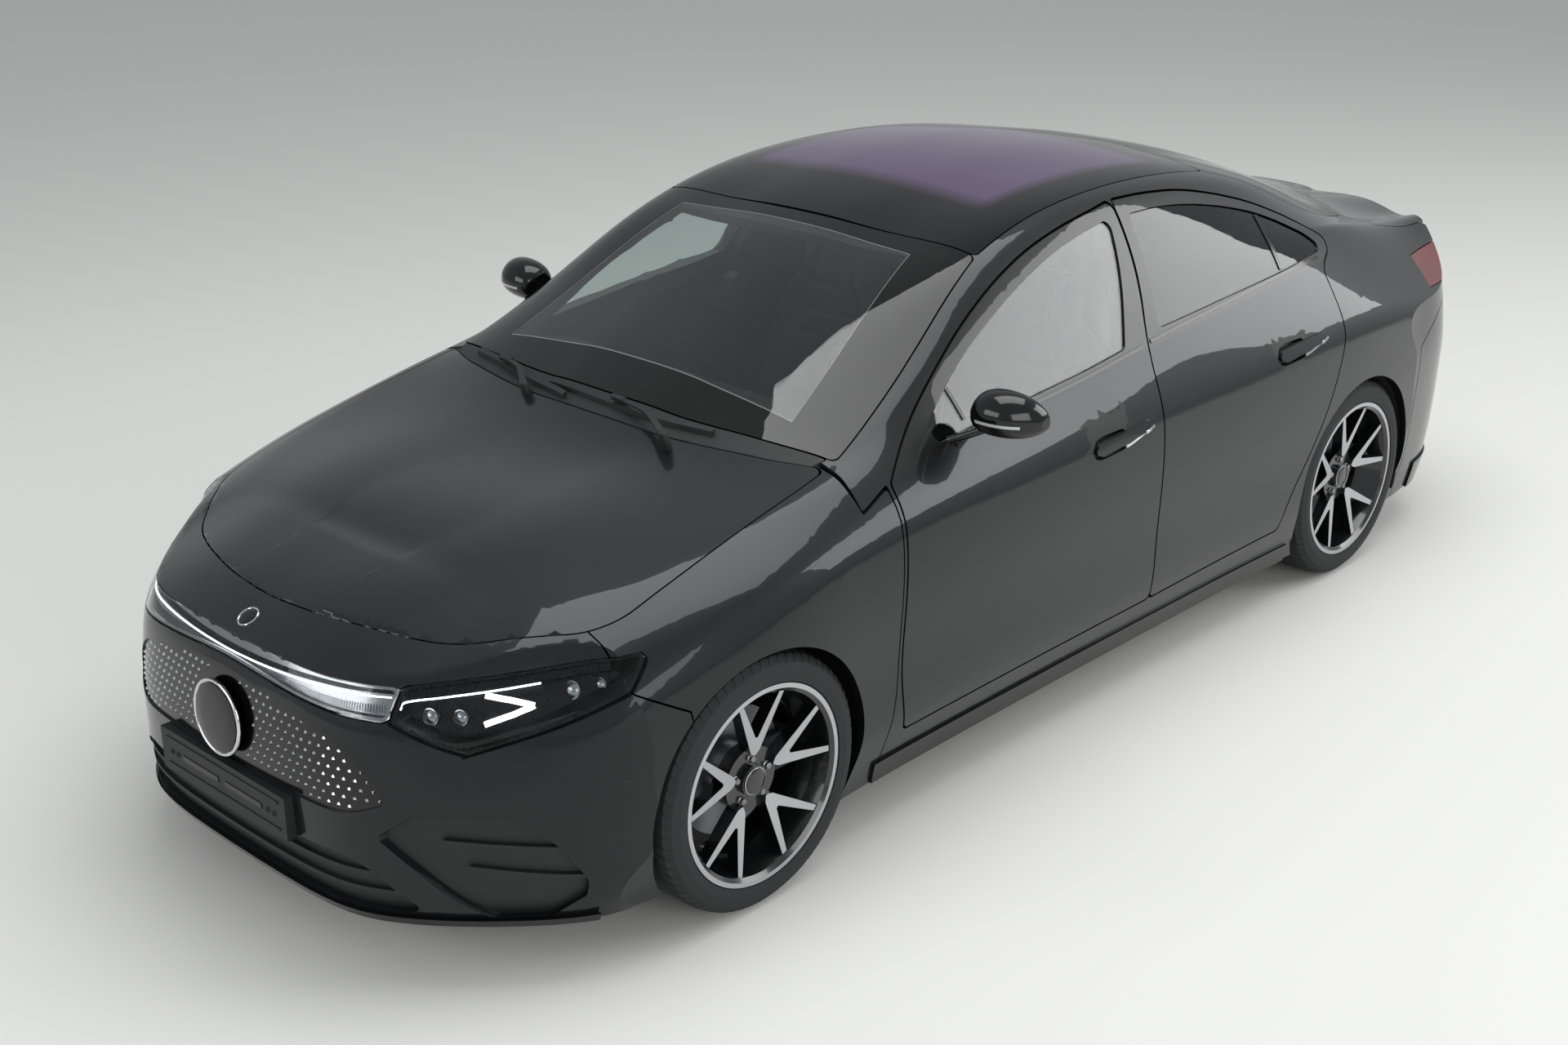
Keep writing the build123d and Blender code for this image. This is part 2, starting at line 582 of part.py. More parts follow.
# Lamps: a thin clear lens in front of a dark bowl
headlamp = keep_large((lamp_space(0) & OUTER) - LENS_BACK)
light_bar = keep_large((front_prism(LIGHT_BAR, -900, -600) & OUTER) - LENS_BACK)
save(group(headlamp, mirrored(headlamp), light_bar), "front_lamps")
bowl = (lamp_space(0) & LAMP_FRONT) - envelope(LAMP_BACK)
bowl = keep_large(bowl - (lamp_space(-6) - envelope(LAMP_DEPTH)))
channel = (front_prism(LIGHT_BAR, -900, -600) & LAMP_FRONT) - INNER
channel = keep_large(channel - (front_prism(LIGHT_BAR, -900, -600, grow=-6) - RECESS_FACE))
save(group(bowl, mirrored(bowl), channel), "lamp_housings")

# Grille panel and intakes, set back behind the bumper skin
grille = (front_prism(GRILLE, -950, -600) & LENS_BACK) - INNER
with BuildPart() as ring:
    with Locations(Location((0, car_y(-898), 534), (86.4, 0, 0))):
        Torus(91, 5)
    with Locations(Location((0, car_y(-895.5), 534), (86.4, 0, 0))):
        Cylinder(88, 12)
save(keep_large(grille + ring.part), "grille_panel")
side_intake = (front_prism(SIDE_INTAKE, -950, -300) & RECESS_FACE) - RECESS_REAR
for outline in FINS:
    side_intake = side_intake + (front_prism(outline, -950, -300, corner=4) & LENS_BACK) - RECESS_REAR
side_intake = keep_large(side_intake & front_prism(SIDE_INTAKE, -950, -300))
low_intake = (front_prism(LOW_INTAKE, -950, -600) & RECESS_FACE) - RECESS_REAR
for outline in LOW_SLATS:
    low_intake = low_intake + (front_prism(outline, -950, -600, corner=3) & LENS_BACK) - RECESS_REAR
low_intake = keep_large(low_intake & front_prism(LOW_INTAKE, -950, -600))
save(group(side_intake, mirrored(side_intake), low_intake), "front_intakes")

# Dark lower trims: a lip under the nose, skirts along the sills and a valance under the tail
TRIM_OUT = envelope(-TRIM_WALL)
lip = (block(-1000, 1000, -1000, -470, GROUND_CLEARANCE - 10, GROUND_CLEARANCE + 20) & TRIM_OUT) - SEAT_BODY
skirt = (block(600, 1000, 425, 2420, GROUND_CLEARANCE - 10, 208) & envelope(-8)) - SEAT_BODY
valance = (block(-1000, 1000, 3290, 4000, GROUND_CLEARANCE - 10, 245) & envelope(-6)) - SEAT_BODY
skirt = keep_large(skirt)
save(group(keep_large(lip), skirt, mirrored(skirt), keep_large(valance)), "lower_trims")

# Tail panels
boot = (plan_prism(BOOT_PLAN, 690, 1300) & OUTER) - INNER
boot = keep_large((boot & front_prism(BOOT_REAR, 3100, 3950)) - front_prism(TAIL_BAR, 3500, 3950))
tail_bar = keep_large((front_prism(TAIL_BAR, 3550, 3950) & OUTER) - INNER)
tail_lamp = keep_large((front_prism(TAIL_LAMP, 3300, 3950) & OUTER) - INNER)
rear = (side_prism([(3164, 140), (3164, 360), (3184, 697), (3564, 857), (3600, 1100), (3990, 1100), (3990, 140)], -1000, 1000, corner=4) & OUTER) - INNER
rear = rear - (plan_prism(BOOT_PLAN, 690, 1300, grow=PANEL_GAP) & front_prism(BOOT_REAR, 3100, 3990, grow=PANEL_GAP))
rear = rear - front_prism(TAIL_LAMP, 3300, 3990, grow=3) - front_prism([(-x, z) for x, z in TAIL_LAMP], 3300, 3990, grow=3)
rear = keep_large(rear - front_prism(TAIL_BAR, 3300, 3990, grow=3))
save(boot, "boot_lid")
save(tail_bar, "boot_lamp_bar")
save(group(tail_lamp, mirrored(tail_lamp)), "tail_lamps")
rear = rear - (front_prism(REAR_PLATE_RECESS, 3700, 3990) - envelope(TRIM_WALL))
save(keep_large(rear), "rear_bumper")

# Cowl between bonnet and windscreen
cowl = (plan_prism(COWL, 800, 1100, corner=4) & S0) - side_solid(20)
save(keep_large(cowl), "cowl_panel")

# Wipers, lying 0.3 mm off the glass and the cowl
WIPER_SPACE = side_solid(-14) - side_solid(-SEAT)
long_wiper = plan_prism(WIPER_LONG, 800, 1200, corner=3)
short_wiper = plan_prism(WIPER_SHORT, 800, 1200, corner=3)
save(group(keep_large(long_wiper & WIPER_SPACE), keep_large(short_wiper & WIPER_SPACE)), "wipers")

# Plate carrier on the nose, blank
bracket = block(-260, 260, -FRONT_OVERHANG, -840, 309, 421) - SEAT_BODY
save(keep_large(bracket), "front_plate_bracket")

# Wheel arch liners
LINER_BODY = side_solid(SKIN + SEAT) & plan_solid(SKIN + SEAT)


def arch_liner(y, inner, outer, x0, x1):
    shell = axle_cylinder(outer, x0, x1, y) - axle_cylinder(inner, x0 - 1, x1 + 1, y)
    return shell - block(-1000, 1000, -1000, 4000, -100, 200)


front_liner = keep_large(arch_liner(FRONT_AXLE, LINER_FRONT_RADIUS, LINER_FRONT_RADIUS + 4, 491, 900) & LINER_BODY)
rear_liner = keep_large(arch_liner(REAR_AXLE, LINER_REAR_RADIUS - 4, LINER_REAR_RADIUS, 570.3, 889.7))
save(group(front_liner, mirrored(front_liner), rear_liner, mirrored(rear_liner)), "wheel_arch_liners")

# Underbody: floor, bulkheads, trays and wheel house walls
FLOOR_BODY = side_solid(PILLAR_DEPTH + SEAT)
with BuildPart() as floor:
    add(block(-850, 850, 446, 2400, 296, 316) & FLOOR_BODY)
    add(block(-490, 490, -620, 446, 158, 170))
    add(block(-490, 490, -620, 446, 664, 680))
    add(block(-490, 490, -620, -604, 158, 680))
    add(block(-490, -474, -620, 446, 158, 680))
    add(block(474, 490, -620, 446, 158, 680))
    add(block(-640, 640, 426, 446, 158, 860))
    add(block(-570, 570, 2384, 2400, 158, 316))
    add(block(-570, 570, 2400, 3550, 158, 170))
    add(block(-570, 570, 2400, 3550, 500, 516))
    add(block(-570, -554, 2400, 3550, 158, 516))
    add(block(554, 570, 2400, 3550, 158, 516))
    add(block(-570, 570, 2390, 2400, 300, 516))
save(keep_large(floor.part), "underbody")
save(block(-600, 600, 600, 2250, GROUND_CLEARANCE + 2, 296 - SEAT), "battery_pack")

# Cabin
with BuildPart() as dash:
    add(side_prism([(446.3, 620), (446.3, 920), (520, 945), (700, 965), (780, 945), (796, 880), (740, 760), (700, 620)], -640, 640))
    add(side_prism([(500, 316.3), (500, 660), (760, 660), (880, 570), (1700, 540), (1700, 316.3)], -120, 120))
    with BuildSketch(Plane((370, car_y(1000), 905), x_dir=(1, 0, 0), z_dir=(0, math.cos(math.radians(COLUMN_TILT)), math.sin(math.radians(COLUMN_TILT))))):
        Circle(24)
    extrude(amount=-340)
save(dash.part, "dashboard")

COLUMN_AXIS = (0, math.cos(math.radians(COLUMN_TILT)), math.sin(math.radians(COLUMN_TILT)))
COLUMN_POINT = (370, car_y(1000), 905)
column_plane = Plane(COLUMN_POINT, x_dir=(1, 0, 0), z_dir=COLUMN_AXIS)
with BuildPart() as steering:
    with BuildSketch(column_plane.offset(SEAT)):
        Circle(48)
    extrude(amount=34)
    with BuildSketch(column_plane.offset(20)):
        Rectangle(340, 34)
        with Locations((0, -85)):
            Rectangle(36, 170)
    extrude(amount=12)
    with Locations(column_plane.offset(26)):
        Torus(178, 15)
save(steering.part, "steering_wheel")


def seat_solid(x0, x1, cushion, back):
    return side_prism(cushion, x0, x1, corner=45) + side_prism(back, x0, x1, corner=40)


front_cushion = [(1130, 420), (1140, 540), (1250, 562), (1640, 520), (1660, 316.3), (1300, 316.3), (1180, 330)]
front_back = [(1560, 420), (1580, 700), (1660, 1080), (1690, 1170), (1760, 1160), (1790, 1000), (1740, 600), (1700, 420)]
rear_cushion = [(2080, 330), (2060, 560), (2180, 590), (2384, 575), (2384, 316.3), (2120, 316.3)]
rear_back = [(2340, 519), (2360, 590), (2500, 640), (2600, 930), (2640, 1010), (2700, 1000), (2730, 900), (2640, 519)]
left_seat = seat_solid(130, 620, front_cushion, front_back)
bench = seat_solid(-560, 560, rear_cushion, rear_back)
save(group(left_seat, mirrored(left_seat), bench), "seats")

with BuildPart() as cabin_mirror:
    add(block(-125, 125, 800, 830, 1130, 1195))
    add(block(-20, 20, 796, 826, 1180, 1300) & S_FRAME_OUT)
save(keep_large(cabin_mirror.part), "cabin_mirror")

# Door mirrors
# Distance out, then centre behind the front axle, centre height, half depth and half height of each section
MIRROR_SECTIONS = (
    (850, 846, 1050, 36, 34), (876, 842, 1056, 60, 54), (930, 843, 1060, 68, 61),
    (985, 856, 1057, 60, 52), (1015, 876, 1049, 40, 34), (1027, 890, 1043, 18, 15),
)


def cross_row(x, y, z, shape, *sizes):
    """One upright section across the car."""
    with BuildSketch(Plane.YZ.offset(x)) as row:
        with Locations((car_y(y), z)):
            shape(*sizes)
    return row.sketch


with BuildPart() as mirror_shell:
    loft([cross_row(x, y, z, Ellipse, depth, rise) for x, y, z, depth, rise in MIRROR_SECTIONS])
with BuildPart() as mirror_foot:
    loft([cross_row(770, 800, 955, RectangleRounded, 96, 24, 10), cross_row(895, 840, 1018, RectangleRounded, 70, 24, 10)])
with BuildPart() as mirror_back:
    with BuildSketch(Plane.XY.offset(900)):
        Polygon((800, car_y(882)), (1060, car_y(908)), (1060, car_y(1000)), (800, car_y(1000)), align=None)
    extrude(amount=300)
door_mirror = mirror_shell.part + mirror_foot.part - mirror_back.part
left_mirror = keep_large(door_mirror - side_solid(-SEAT))
save(left_mirror, "door_mirror_left")
save(mirrored(left_mirror), "door_mirror_right")

# Wheels
DISC_RADIUS = 165
DISC_IN = HALF_TRACK - 40
DISC_OUT = HALF_TRACK - 10
WELL_RADIUS = RIM_RADIUS - 52


def ring_of_revolution(profile, y):
    """A profile of (x, radius) turned about the axle line at y."""
    with BuildPart() as body:
        with BuildSketch(Plane.XY):
            with BuildLine():
                Polyline([(x, r) for x, r in profile] + [profile[0]])
            make_face()
        revolve(axis=Axis.X)
    return Pos(0, y, TYRE_RADIUS) * body.part


half = TYRE_WIDTH / 2
TYRE_HALF = [
    (half, RIM_RADIUS + 27), (half - 2, RIM_RADIUS + 4), (half - 13, RIM_RADIUS + 0.6),
    (half - 18.5, RIM_RADIUS - 17 + SEAT),
]
TREAD_HALF = [(half - 45, TYRE_RADIUS - 1.5), (half - 20, TYRE_RADIUS - 7), (half - 5, TYRE_RADIUS - 23)]
TYRE_PROFILE = [(0, TYRE_RADIUS)] + TREAD_HALF + TYRE_HALF
TYRE_PROFILE = TYRE_PROFILE + [(-x, r) for x, r in reversed(TYRE_PROFILE[1:])]
RIM_PROFILE = [
    (4.5 - half, RIM_RADIUS), (4.5 - half, RIM_RADIUS - 14), (-70, RIM_RADIUS - 24), (-40, WELL_RADIUS),
    (20, WELL_RADIUS), (60, RIM_RADIUS - 36), (100, RIM_RADIUS - 22), (half - 4.5, RIM_RADIUS - 12),
    (half - 4.5, RIM_RADIUS), (half - 12.5, RIM_RADIUS), (half - 18, RIM_RADIUS - 17), (60, RIM_RADIUS - 17),
    (30, WELL_RADIUS + 10), (-45, WELL_RADIUS + 10), (-78, RIM_RADIUS - 17), (18 - half, RIM_RADIUS - 17),
    (12.5 - half, RIM_RADIUS),
]
# One V of the wheel face, along its own axis, and the dished band that the five of them lie in
SPOKE_PAIR = [
    (66, 0), (80, 15), (RIM_RADIUS - 30, 77), (RIM_RADIUS - 26, 63), (120, 4),
    (120, -4), (RIM_RADIUS - 26, -63), (RIM_RADIUS - 30, -77), (80, -15),
]
SPOKE_BAND = [(30, 0), (70, 0), (72, 66), (98, RIM_RADIUS - 20), (66, RIM_RADIUS - 20), (36, 80)]


def wheel_set(y, name):
    """Tyre, alloy wheel and brake disc of one left wheel."""
    tyre = ring_of_revolution([(x + HALF_TRACK, r) for x, r in TYRE_PROFILE], y)
    save(tyre, "tyre_" + name)
    rim = ring_of_revolution([(x + HALF_TRACK, r) for x, r in RIM_PROFILE], y)
    hub = axle_cylinder(84, HALF_TRACK + 20, HALF_TRACK + 58, y) + axle_cylinder(40, HALF_TRACK + 50, HALF_TRACK + 72, y)
    hub = hub - axle_cylinder(22 + SEAT, HALF_TRACK, HALF_TRACK + 60, y)
    with BuildPart() as spokes:
        with BuildSketch(Plane.YZ.offset(HALF_TRACK + 20)):
            for k in range(5):
                turn = math.radians(90 + 72 * k)
                with BuildLine():
                    Polyline([
                        (a * math.cos(turn) - b * math.sin(turn), a * math.sin(turn) + b * math.cos(turn))
                        for a, b in SPOKE_PAIR + [SPOKE_PAIR[0]]
                    ])
                make_face()
        extrude(amount=90)
    band = ring_of_revolution([(x + HALF_TRACK, r) for x, r in SPOKE_BAND], y)
    wheel = rim + hub + ((Pos(0, y, TYRE_RADIUS) * spokes.part) & band)
    wheel = wheel - axle_cylinder(22 + SEAT, HALF_TRACK, HALF_TRACK + 60, y)
    save(wheel, "wheel_" + name)
    disc = axle_cylinder(DISC_RADIUS, DISC_IN, DISC_OUT, y)
    disc = disc + axle_cylinder(70, DISC_OUT - 1, HALF_TRACK + 20 - SEAT, y) - axle_cylinder(22 + SEAT, 700, 900, y)
    save(disc, "brake_disc_" + name)
    return tyre, wheel, disc


for corner_name, axle_y in (("front", FRONT_AXLE), ("rear", REAR_AXLE)):
    tyre, wheel, disc = wheel_set(axle_y, corner_name + "_left")
    for piece, piece_name in ((tyre, "tyre_"), (wheel, "wheel_"), (disc, "brake_disc_")):
        save(mirrored(piece), piece_name + corner_name + "_right")


# Wheel carriers
def carrier(y):
    """Upright, stub axle and brake caliper of one wheel on the left."""
    axle = axle_cylinder(22, 730, HALF_TRACK + 58, y)
    with BuildPart() as body:
        add(axle)
        with Locations((732, y, TYRE_RADIUS)):
            Box(26, 90, 260)
        with Locations((741.5, y + 90, TYRE_RADIUS)):
            Box(13, 120, 80)
        with Locations((770, y + 143, TYRE_RADIUS)):
            Box(70, 94, 100)
    slot = axle_cylinder(DISC_RADIUS + 6, DISC_IN - 6, DISC_OUT + 6, y) - axle_cylinder(24, 740, 800, y)
    return body.part - slot + axle


def vertical(radius, x, y, z0, z1):
    with BuildPart() as body:
        with BuildSketch(Plane.XY.offset(z0)):
            with Locations((x, y)):
                Circle(radius)
        extrude(amount=z1 - z0)
    return body.part


def arm(y, z0, z1):
    with BuildPart() as body:
        with BuildSketch(Plane.XY.offset(z0)):
            with BuildLine():
                Polyline([(490.3, y - 110), (490.3, y + 110), (KINGPIN_X, y + 18), (KINGPIN_X, y - 18), (490.3, y - 110)])
            make_face()
            with Locations((KINGPIN_X, y)):
                Circle(22)
        extrude(amount=z1 - z0)
    return body.part - vertical(9 + SEAT, KINGPIN_X, y, z0 - 1, z1 + 1)


knuckle = carrier(FRONT_AXLE)
for z0, z1, pin0, pin1 in ((TYRE_RADIUS + 100, TYRE_RADIUS + 130, TYRE_RADIUS + 129, TYRE_RADIUS + 150), (TYRE_RADIUS - 130, TYRE_RADIUS - 100, TYRE_RADIUS - 150, TYRE_RADIUS - 129)):
    knuckle = knuckle + vertical(20, KINGPIN_X, FRONT_AXLE, z0, z1)
    knuckle = knuckle + block(KINGPIN_X, 730, -18, 18, z0, z1)
    knuckle = knuckle + vertical(9, KINGPIN_X, FRONT_AXLE, pin0, pin1)
save(knuckle, "knuckle_left")
save(mirrored(knuckle), "knuckle_right")
upper_arm = arm(FRONT_AXLE, TYRE_RADIUS + 130 + SEAT, TYRE_RADIUS + 150)
lower_arm = arm(FRONT_AXLE, TYRE_RADIUS - 150, TYRE_RADIUS - 130 - SEAT)
save(group(upper_arm, lower_arm, mirrored(upper_arm), mirrored(lower_arm)), "front_suspension_arms")
rear_carrier = carrier(REAR_AXLE)
for z in (TYRE_RADIUS + 100, TYRE_RADIUS - 120):
    rear_carrier = rear_carrier + block(570.3, 730, 2790 - 60, 2790 + 60, z, z + 20)
save(group(rear_carrier, mirrored(rear_carrier)), "rear_wheel_carriers")
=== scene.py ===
# %% [markdown]
# A four-door sedan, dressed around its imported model.
# The rigid panels, doors, glass, wheels and suspension come from the frame as they are and get
# materials. Blender adds what is too fine for the solids: studs, trim, treads, lamps and seats.

# %% Load the frame
import math

import bmesh
import bpy
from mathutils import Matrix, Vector
from mathutils.bvhtree import BVHTree


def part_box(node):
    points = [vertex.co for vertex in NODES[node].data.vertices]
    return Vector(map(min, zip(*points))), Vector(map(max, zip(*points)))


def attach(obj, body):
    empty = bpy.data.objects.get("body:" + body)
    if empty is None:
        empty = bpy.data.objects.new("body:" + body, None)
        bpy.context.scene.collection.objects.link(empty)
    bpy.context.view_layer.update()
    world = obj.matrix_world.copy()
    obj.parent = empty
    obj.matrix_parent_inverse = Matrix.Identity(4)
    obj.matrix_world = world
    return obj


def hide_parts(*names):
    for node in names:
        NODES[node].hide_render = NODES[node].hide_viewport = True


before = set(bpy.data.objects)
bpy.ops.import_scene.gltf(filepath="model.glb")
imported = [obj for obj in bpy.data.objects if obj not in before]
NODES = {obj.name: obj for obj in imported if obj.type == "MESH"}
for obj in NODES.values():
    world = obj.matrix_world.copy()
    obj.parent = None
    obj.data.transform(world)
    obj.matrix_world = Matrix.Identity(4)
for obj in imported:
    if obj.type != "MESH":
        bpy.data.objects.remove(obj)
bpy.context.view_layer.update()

# %% [markdown]
# Lengths are metres. Lines laid on the skin, and values whose names end in mm, are millimetres.
# Most places on the car are given as a distance behind the front axle, because that is how they
# were measured in the photograph.

# %% Main places
FRONT_AXLE = -1.4565
REAR_AXLE = 1.3335
WHEEL_RADIUS = 0.331
HALF_TRACK = 0.795
SIDES = (("left", 1), ("right", -1))


def behind(y):
    """A distance behind the front axle as the frame's own Y."""
    return FRONT_AXLE + y


# %% [markdown]
# Every finish is a Principled shader, most with a procedural pattern. One function turns a written
# hex colour into the linear values that the shader wants, and one function adds any node.

# %% Colour, node and material helpers
def colour(hexa):
    """sRGB hex to a linear colour."""
    values = [int(hexa[i:i + 2], 16) / 255 for i in (1, 3, 5)]
    linear = [v / 12.92 if v <= 0.04045 else ((v + 0.055) / 1.055) ** 2.4 for v in values]
    return (*linear, 1.0)


def add_node(owner, kind, settings=None, links=None):
    """Adds a node to a material or a tree, sets its values and links sockets to (node, output) pairs."""
    tree = owner.node_tree if isinstance(owner, bpy.types.Material) else owner
    node = tree.nodes.new(kind)
    for name, value in (settings or {}).items():
        if isinstance(name, str) and hasattr(node, name):
            setattr(node, name, value)
        else:
            node.inputs[name].default_value = value
    for name, (source, output) in (links or {}).items():
        tree.links.new(source.outputs[output], node.inputs[name])
    return node


def shader_of(material):
    """The material's Principled shader."""
    return material.node_tree.nodes["Principled BSDF"]


def feed(material, source, output, socket):
    """Links a node's output to a socket of the material's shader."""
    material.node_tree.links.new(source.outputs[output], shader_of(material).inputs[socket])


def finish(name, hexa, roughness, metallic=0.0, **sockets):
    """A material whose shader has these plain values."""
    material = bpy.data.materials.new(name)
    material.use_nodes = True
    values = {"Base Color": colour(hexa), "Roughness": roughness, "Metallic": metallic}
    values.update({socket.replace("_", " "): value for socket, value in sockets.items()})
    for socket, value in values.items():
        shader_of(material).inputs[socket].default_value = value
    return material


def axes_of(material):
    """The object's own X, Y and Z, one output each."""
    place = add_node(material, "ShaderNodeTexCoord")
    return add_node(material, "ShaderNodeSeparateXYZ", None, {"Vector": (place, "Object")})


def noise_of(material, size_mm, detail):
    """Noise of this size on the object's own coordinates."""
    place = add_node(material, "ShaderNodeTexCoord")
    return add_node(material, "ShaderNodeTexNoise", {"Scale": 1000 / size_mm, "Detail": detail},
                    {"Vector": (place, "Object")})


def grain(material, size_mm, depth_mm, detail=3.0):
    """A fine moulded grain: noise of this size as bump."""
    bump = add_node(material, "ShaderNodeBump", {"Strength": 0.5, "Distance": depth_mm / 1000},
                    {"Height": (noise_of(material, size_mm, detail), "Fac")})
    feed(material, bump, "Normal", "Normal")


def mottle(material, size_mm, low, high):
    """Slow variation of the roughness between low and high."""
    spread = add_node(material, "ShaderNodeMapRange", {"To Min": low, "To Max": high},
                      {"Value": (noise_of(material, size_mm, 2.0), "Fac")})
    feed(material, spread, "Result", "Roughness")


# %% [markdown]
# Graphite paint is a dark metallic base coat under clear lacquer. The eye gets two things from
# it: sharp reflections from the lacquer, and a soft grey bloom from the flakes below. The flakes
# are about 0.05 mm in life and are drawn 1.2 mm wide so that they show at all.

# %% Paint
PAINT_HEX = "#141719"
PAINT_METAL = 0.5
FLAKE_MM = 1.2


def metallic_paint(name):
    """Dark metallic base with flakes that vary its roughness, under lacquer."""
    material = finish(name, PAINT_HEX, 0.36, PAINT_METAL, Specular_IOR_Level=0.25,
                      Coat_Weight=0.9, Coat_Roughness=0.02, Coat_IOR=1.36)
    place = add_node(material, "ShaderNodeTexCoord")
    flake = add_node(material, "ShaderNodeTexVoronoi", {"Scale": 1000 / FLAKE_MM},
                     {"Vector": (place, "Object")})
    sparkle = add_node(material, "ShaderNodeMapRange", {"To Min": 0.32, "To Max": 0.46},
                       {"Value": (flake, "Color")})
    feed(material, sparkle, "Result", "Roughness")
    return material


paint = metallic_paint("graphite metallic paint")

# %% [markdown]
# The door frames above the belt are covered with gloss black mouldings. The belt rises and
# flattens towards the rear, so the doors use one material whose colour changes along a parabola
# in side view.

# %% Door paint with black window surrounds
BELT_HEIGHT = 0.887
BELT_RISE = 0.1097
BELT_BEND = -0.0156
BELT_EDGE = 0.0008
SURROUND_HEX = "#060607"


def belt_mask(material):
    """1 above the belt line and 0 below it."""
    split = axes_of(material)
    y = add_node(material, "ShaderNodeMath", {"operation": "SUBTRACT", 1: FRONT_AXLE}, {0: (split, "Y")})
    rise = add_node(material, "ShaderNodeMath", {"operation": "MULTIPLY_ADD", 1: BELT_RISE, 2: BELT_HEIGHT},
                    {0: (y, 0)})
    square = add_node(material, "ShaderNodeMath", {"operation": "MULTIPLY"}, {0: (y, 0), 1: (y, 0)})
    belt = add_node(material, "ShaderNodeMath", {"operation": "MULTIPLY_ADD", 1: BELT_BEND},
                    {0: (square, 0), 2: (rise, 0)})
    above = add_node(material, "ShaderNodeMath", {"operation": "SUBTRACT"}, {0: (split, "Z"), 1: (belt, 0)})
    return add_node(material, "ShaderNodeMapRange", {"From Min": -BELT_EDGE, "From Max": BELT_EDGE},
                    {"Value": (above, 0)})


door_paint = metallic_paint("graphite paint with black window surround")
above_belt = belt_mask(door_paint)
tone = add_node(door_paint, "ShaderNodeMix",
                {"data_type": "RGBA", 6: colour(PAINT_HEX), 7: colour(SURROUND_HEX)},
                {0: (above_belt, "Result")})
feed(door_paint, tone, 2, "Base Color")
metal = add_node(door_paint, "ShaderNodeMapRange", {"To Min": PAINT_METAL, "To Max": 0.0},
                 {"Value": (above_belt, "Result")})
feed(door_paint, metal, "Result", "Metallic")
print("paint ready")

# %% [markdown]
# Car glass is clear at its middle and printed black round its edge, where the adhesive sits. The
# print is a mask on the sloping side edge and on the two ends. The roof glass is black all over,
# with a coated middle that looks violet from above.

# %% Glass
PRINT_BLACK = "#050505"
ROOF_BLACK = "#08080a"
ROOF_VIOLET = "#4a3c58"


def range_mask(material, source, output, low, high, soft):
    """1 between low and high on one coordinate, fading over soft."""
    rise = add_node(material, "ShaderNodeMapRange", {"From Min": low, "From Max": low + soft},
                    {"Value": (source, output)})
    fall = add_node(material, "ShaderNodeMapRange",
                    {"From Min": high - soft, "From Max": high, "To Min": 1.0, "To Max": 0.0},
                    {"Value": (source, output)})
    return add_node(material, "ShaderNodeMath", {"operation": "MULTIPLY"},
                    {0: (rise, "Result"), 1: (fall, "Result")})


def printed_glass(name, hexa, side_at, slope, front, back):
    """Glass that is printed black where |x| passes a sloping line, or y is outside front and back."""
    material = finish(name, hexa, 0.0, Transmission_Weight=1.0, IOR=1.45)
    split = axes_of(material)
    width = add_node(material, "ShaderNodeMath", {"operation": "ABSOLUTE"}, {0: (split, "X")})
    reach = add_node(material, "ShaderNodeMath", {"operation": "MULTIPLY_ADD", 1: slope},
                     {0: (split, "Y"), 2: (width, 0)})
    inside = add_node(material, "ShaderNodeMapRange",
                      {"From Min": side_at - 0.003, "From Max": side_at, "To Min": 1.0, "To Max": 0.0},
                      {"Value": (reach, 0)})
    lengthways = range_mask(material, split, "Y", front, back, 0.004)
    clear = add_node(material, "ShaderNodeMath", {"operation": "MULTIPLY"},
                     {0: (inside, "Result"), 1: (lengthways, 0)})
    feed(material, clear, 0, "Transmission Weight")
    mix = add_node(material, "ShaderNodeMix", {"data_type": "RGBA", 6: colour(PRINT_BLACK), 7: colour(hexa)},
                   {0: (clear, 0)})
    feed(material, mix, 2, "Base Color")
    return material


clear_glass = finish("toughened side glass", "#e3ebe9", 0.0, Transmission_Weight=1.0, IOR=1.45)
privacy_glass = finish("dark tinted rear glass", "#6f7574", 0.0, Transmission_Weight=1.0, IOR=1.45)
screen_glass = printed_glass("laminated windscreen glass", "#d5e0dd", 0.360, 0.190,
                             behind(0.47), behind(1.055))
rear_screen_glass = printed_glass("heated rear window glass", "#7b8180", 0.535, -0.02,
                                  behind(2.45), behind(3.12))

roof_glass = finish("black roof glass", ROOF_BLACK, 0.05, Specular_IOR_Level=0.35)
split = axes_of(roof_glass)
across = range_mask(roof_glass, split, "X", -0.46, 0.46, 0.05)
lengthways = range_mask(roof_glass, split, "Y", behind(1.33), behind(2.22), 0.08)
tint = add_node(roof_glass, "ShaderNodeMath", {"operation": "MULTIPLY"}, {0: (across, 0), 1: (lengthways, 0)})
violet = add_node(roof_glass, "ShaderNodeMix",
                  {"data_type": "RGBA", 6: colour(ROOF_BLACK), 7: colour(ROOF_VIOLET)}, {0: (tint, 0)})
feed(roof_glass, violet, 2, "Base Color")
print("glass ready")

# %% [markdown]
# Mouldings, rubber, leather and cast metal each have a broad roughness and a fine relief, sized in
# millimetres: 1.4 mm grain on polypropylene, 2.2 mm on nappa leather, 3 mm tufts on the liners.

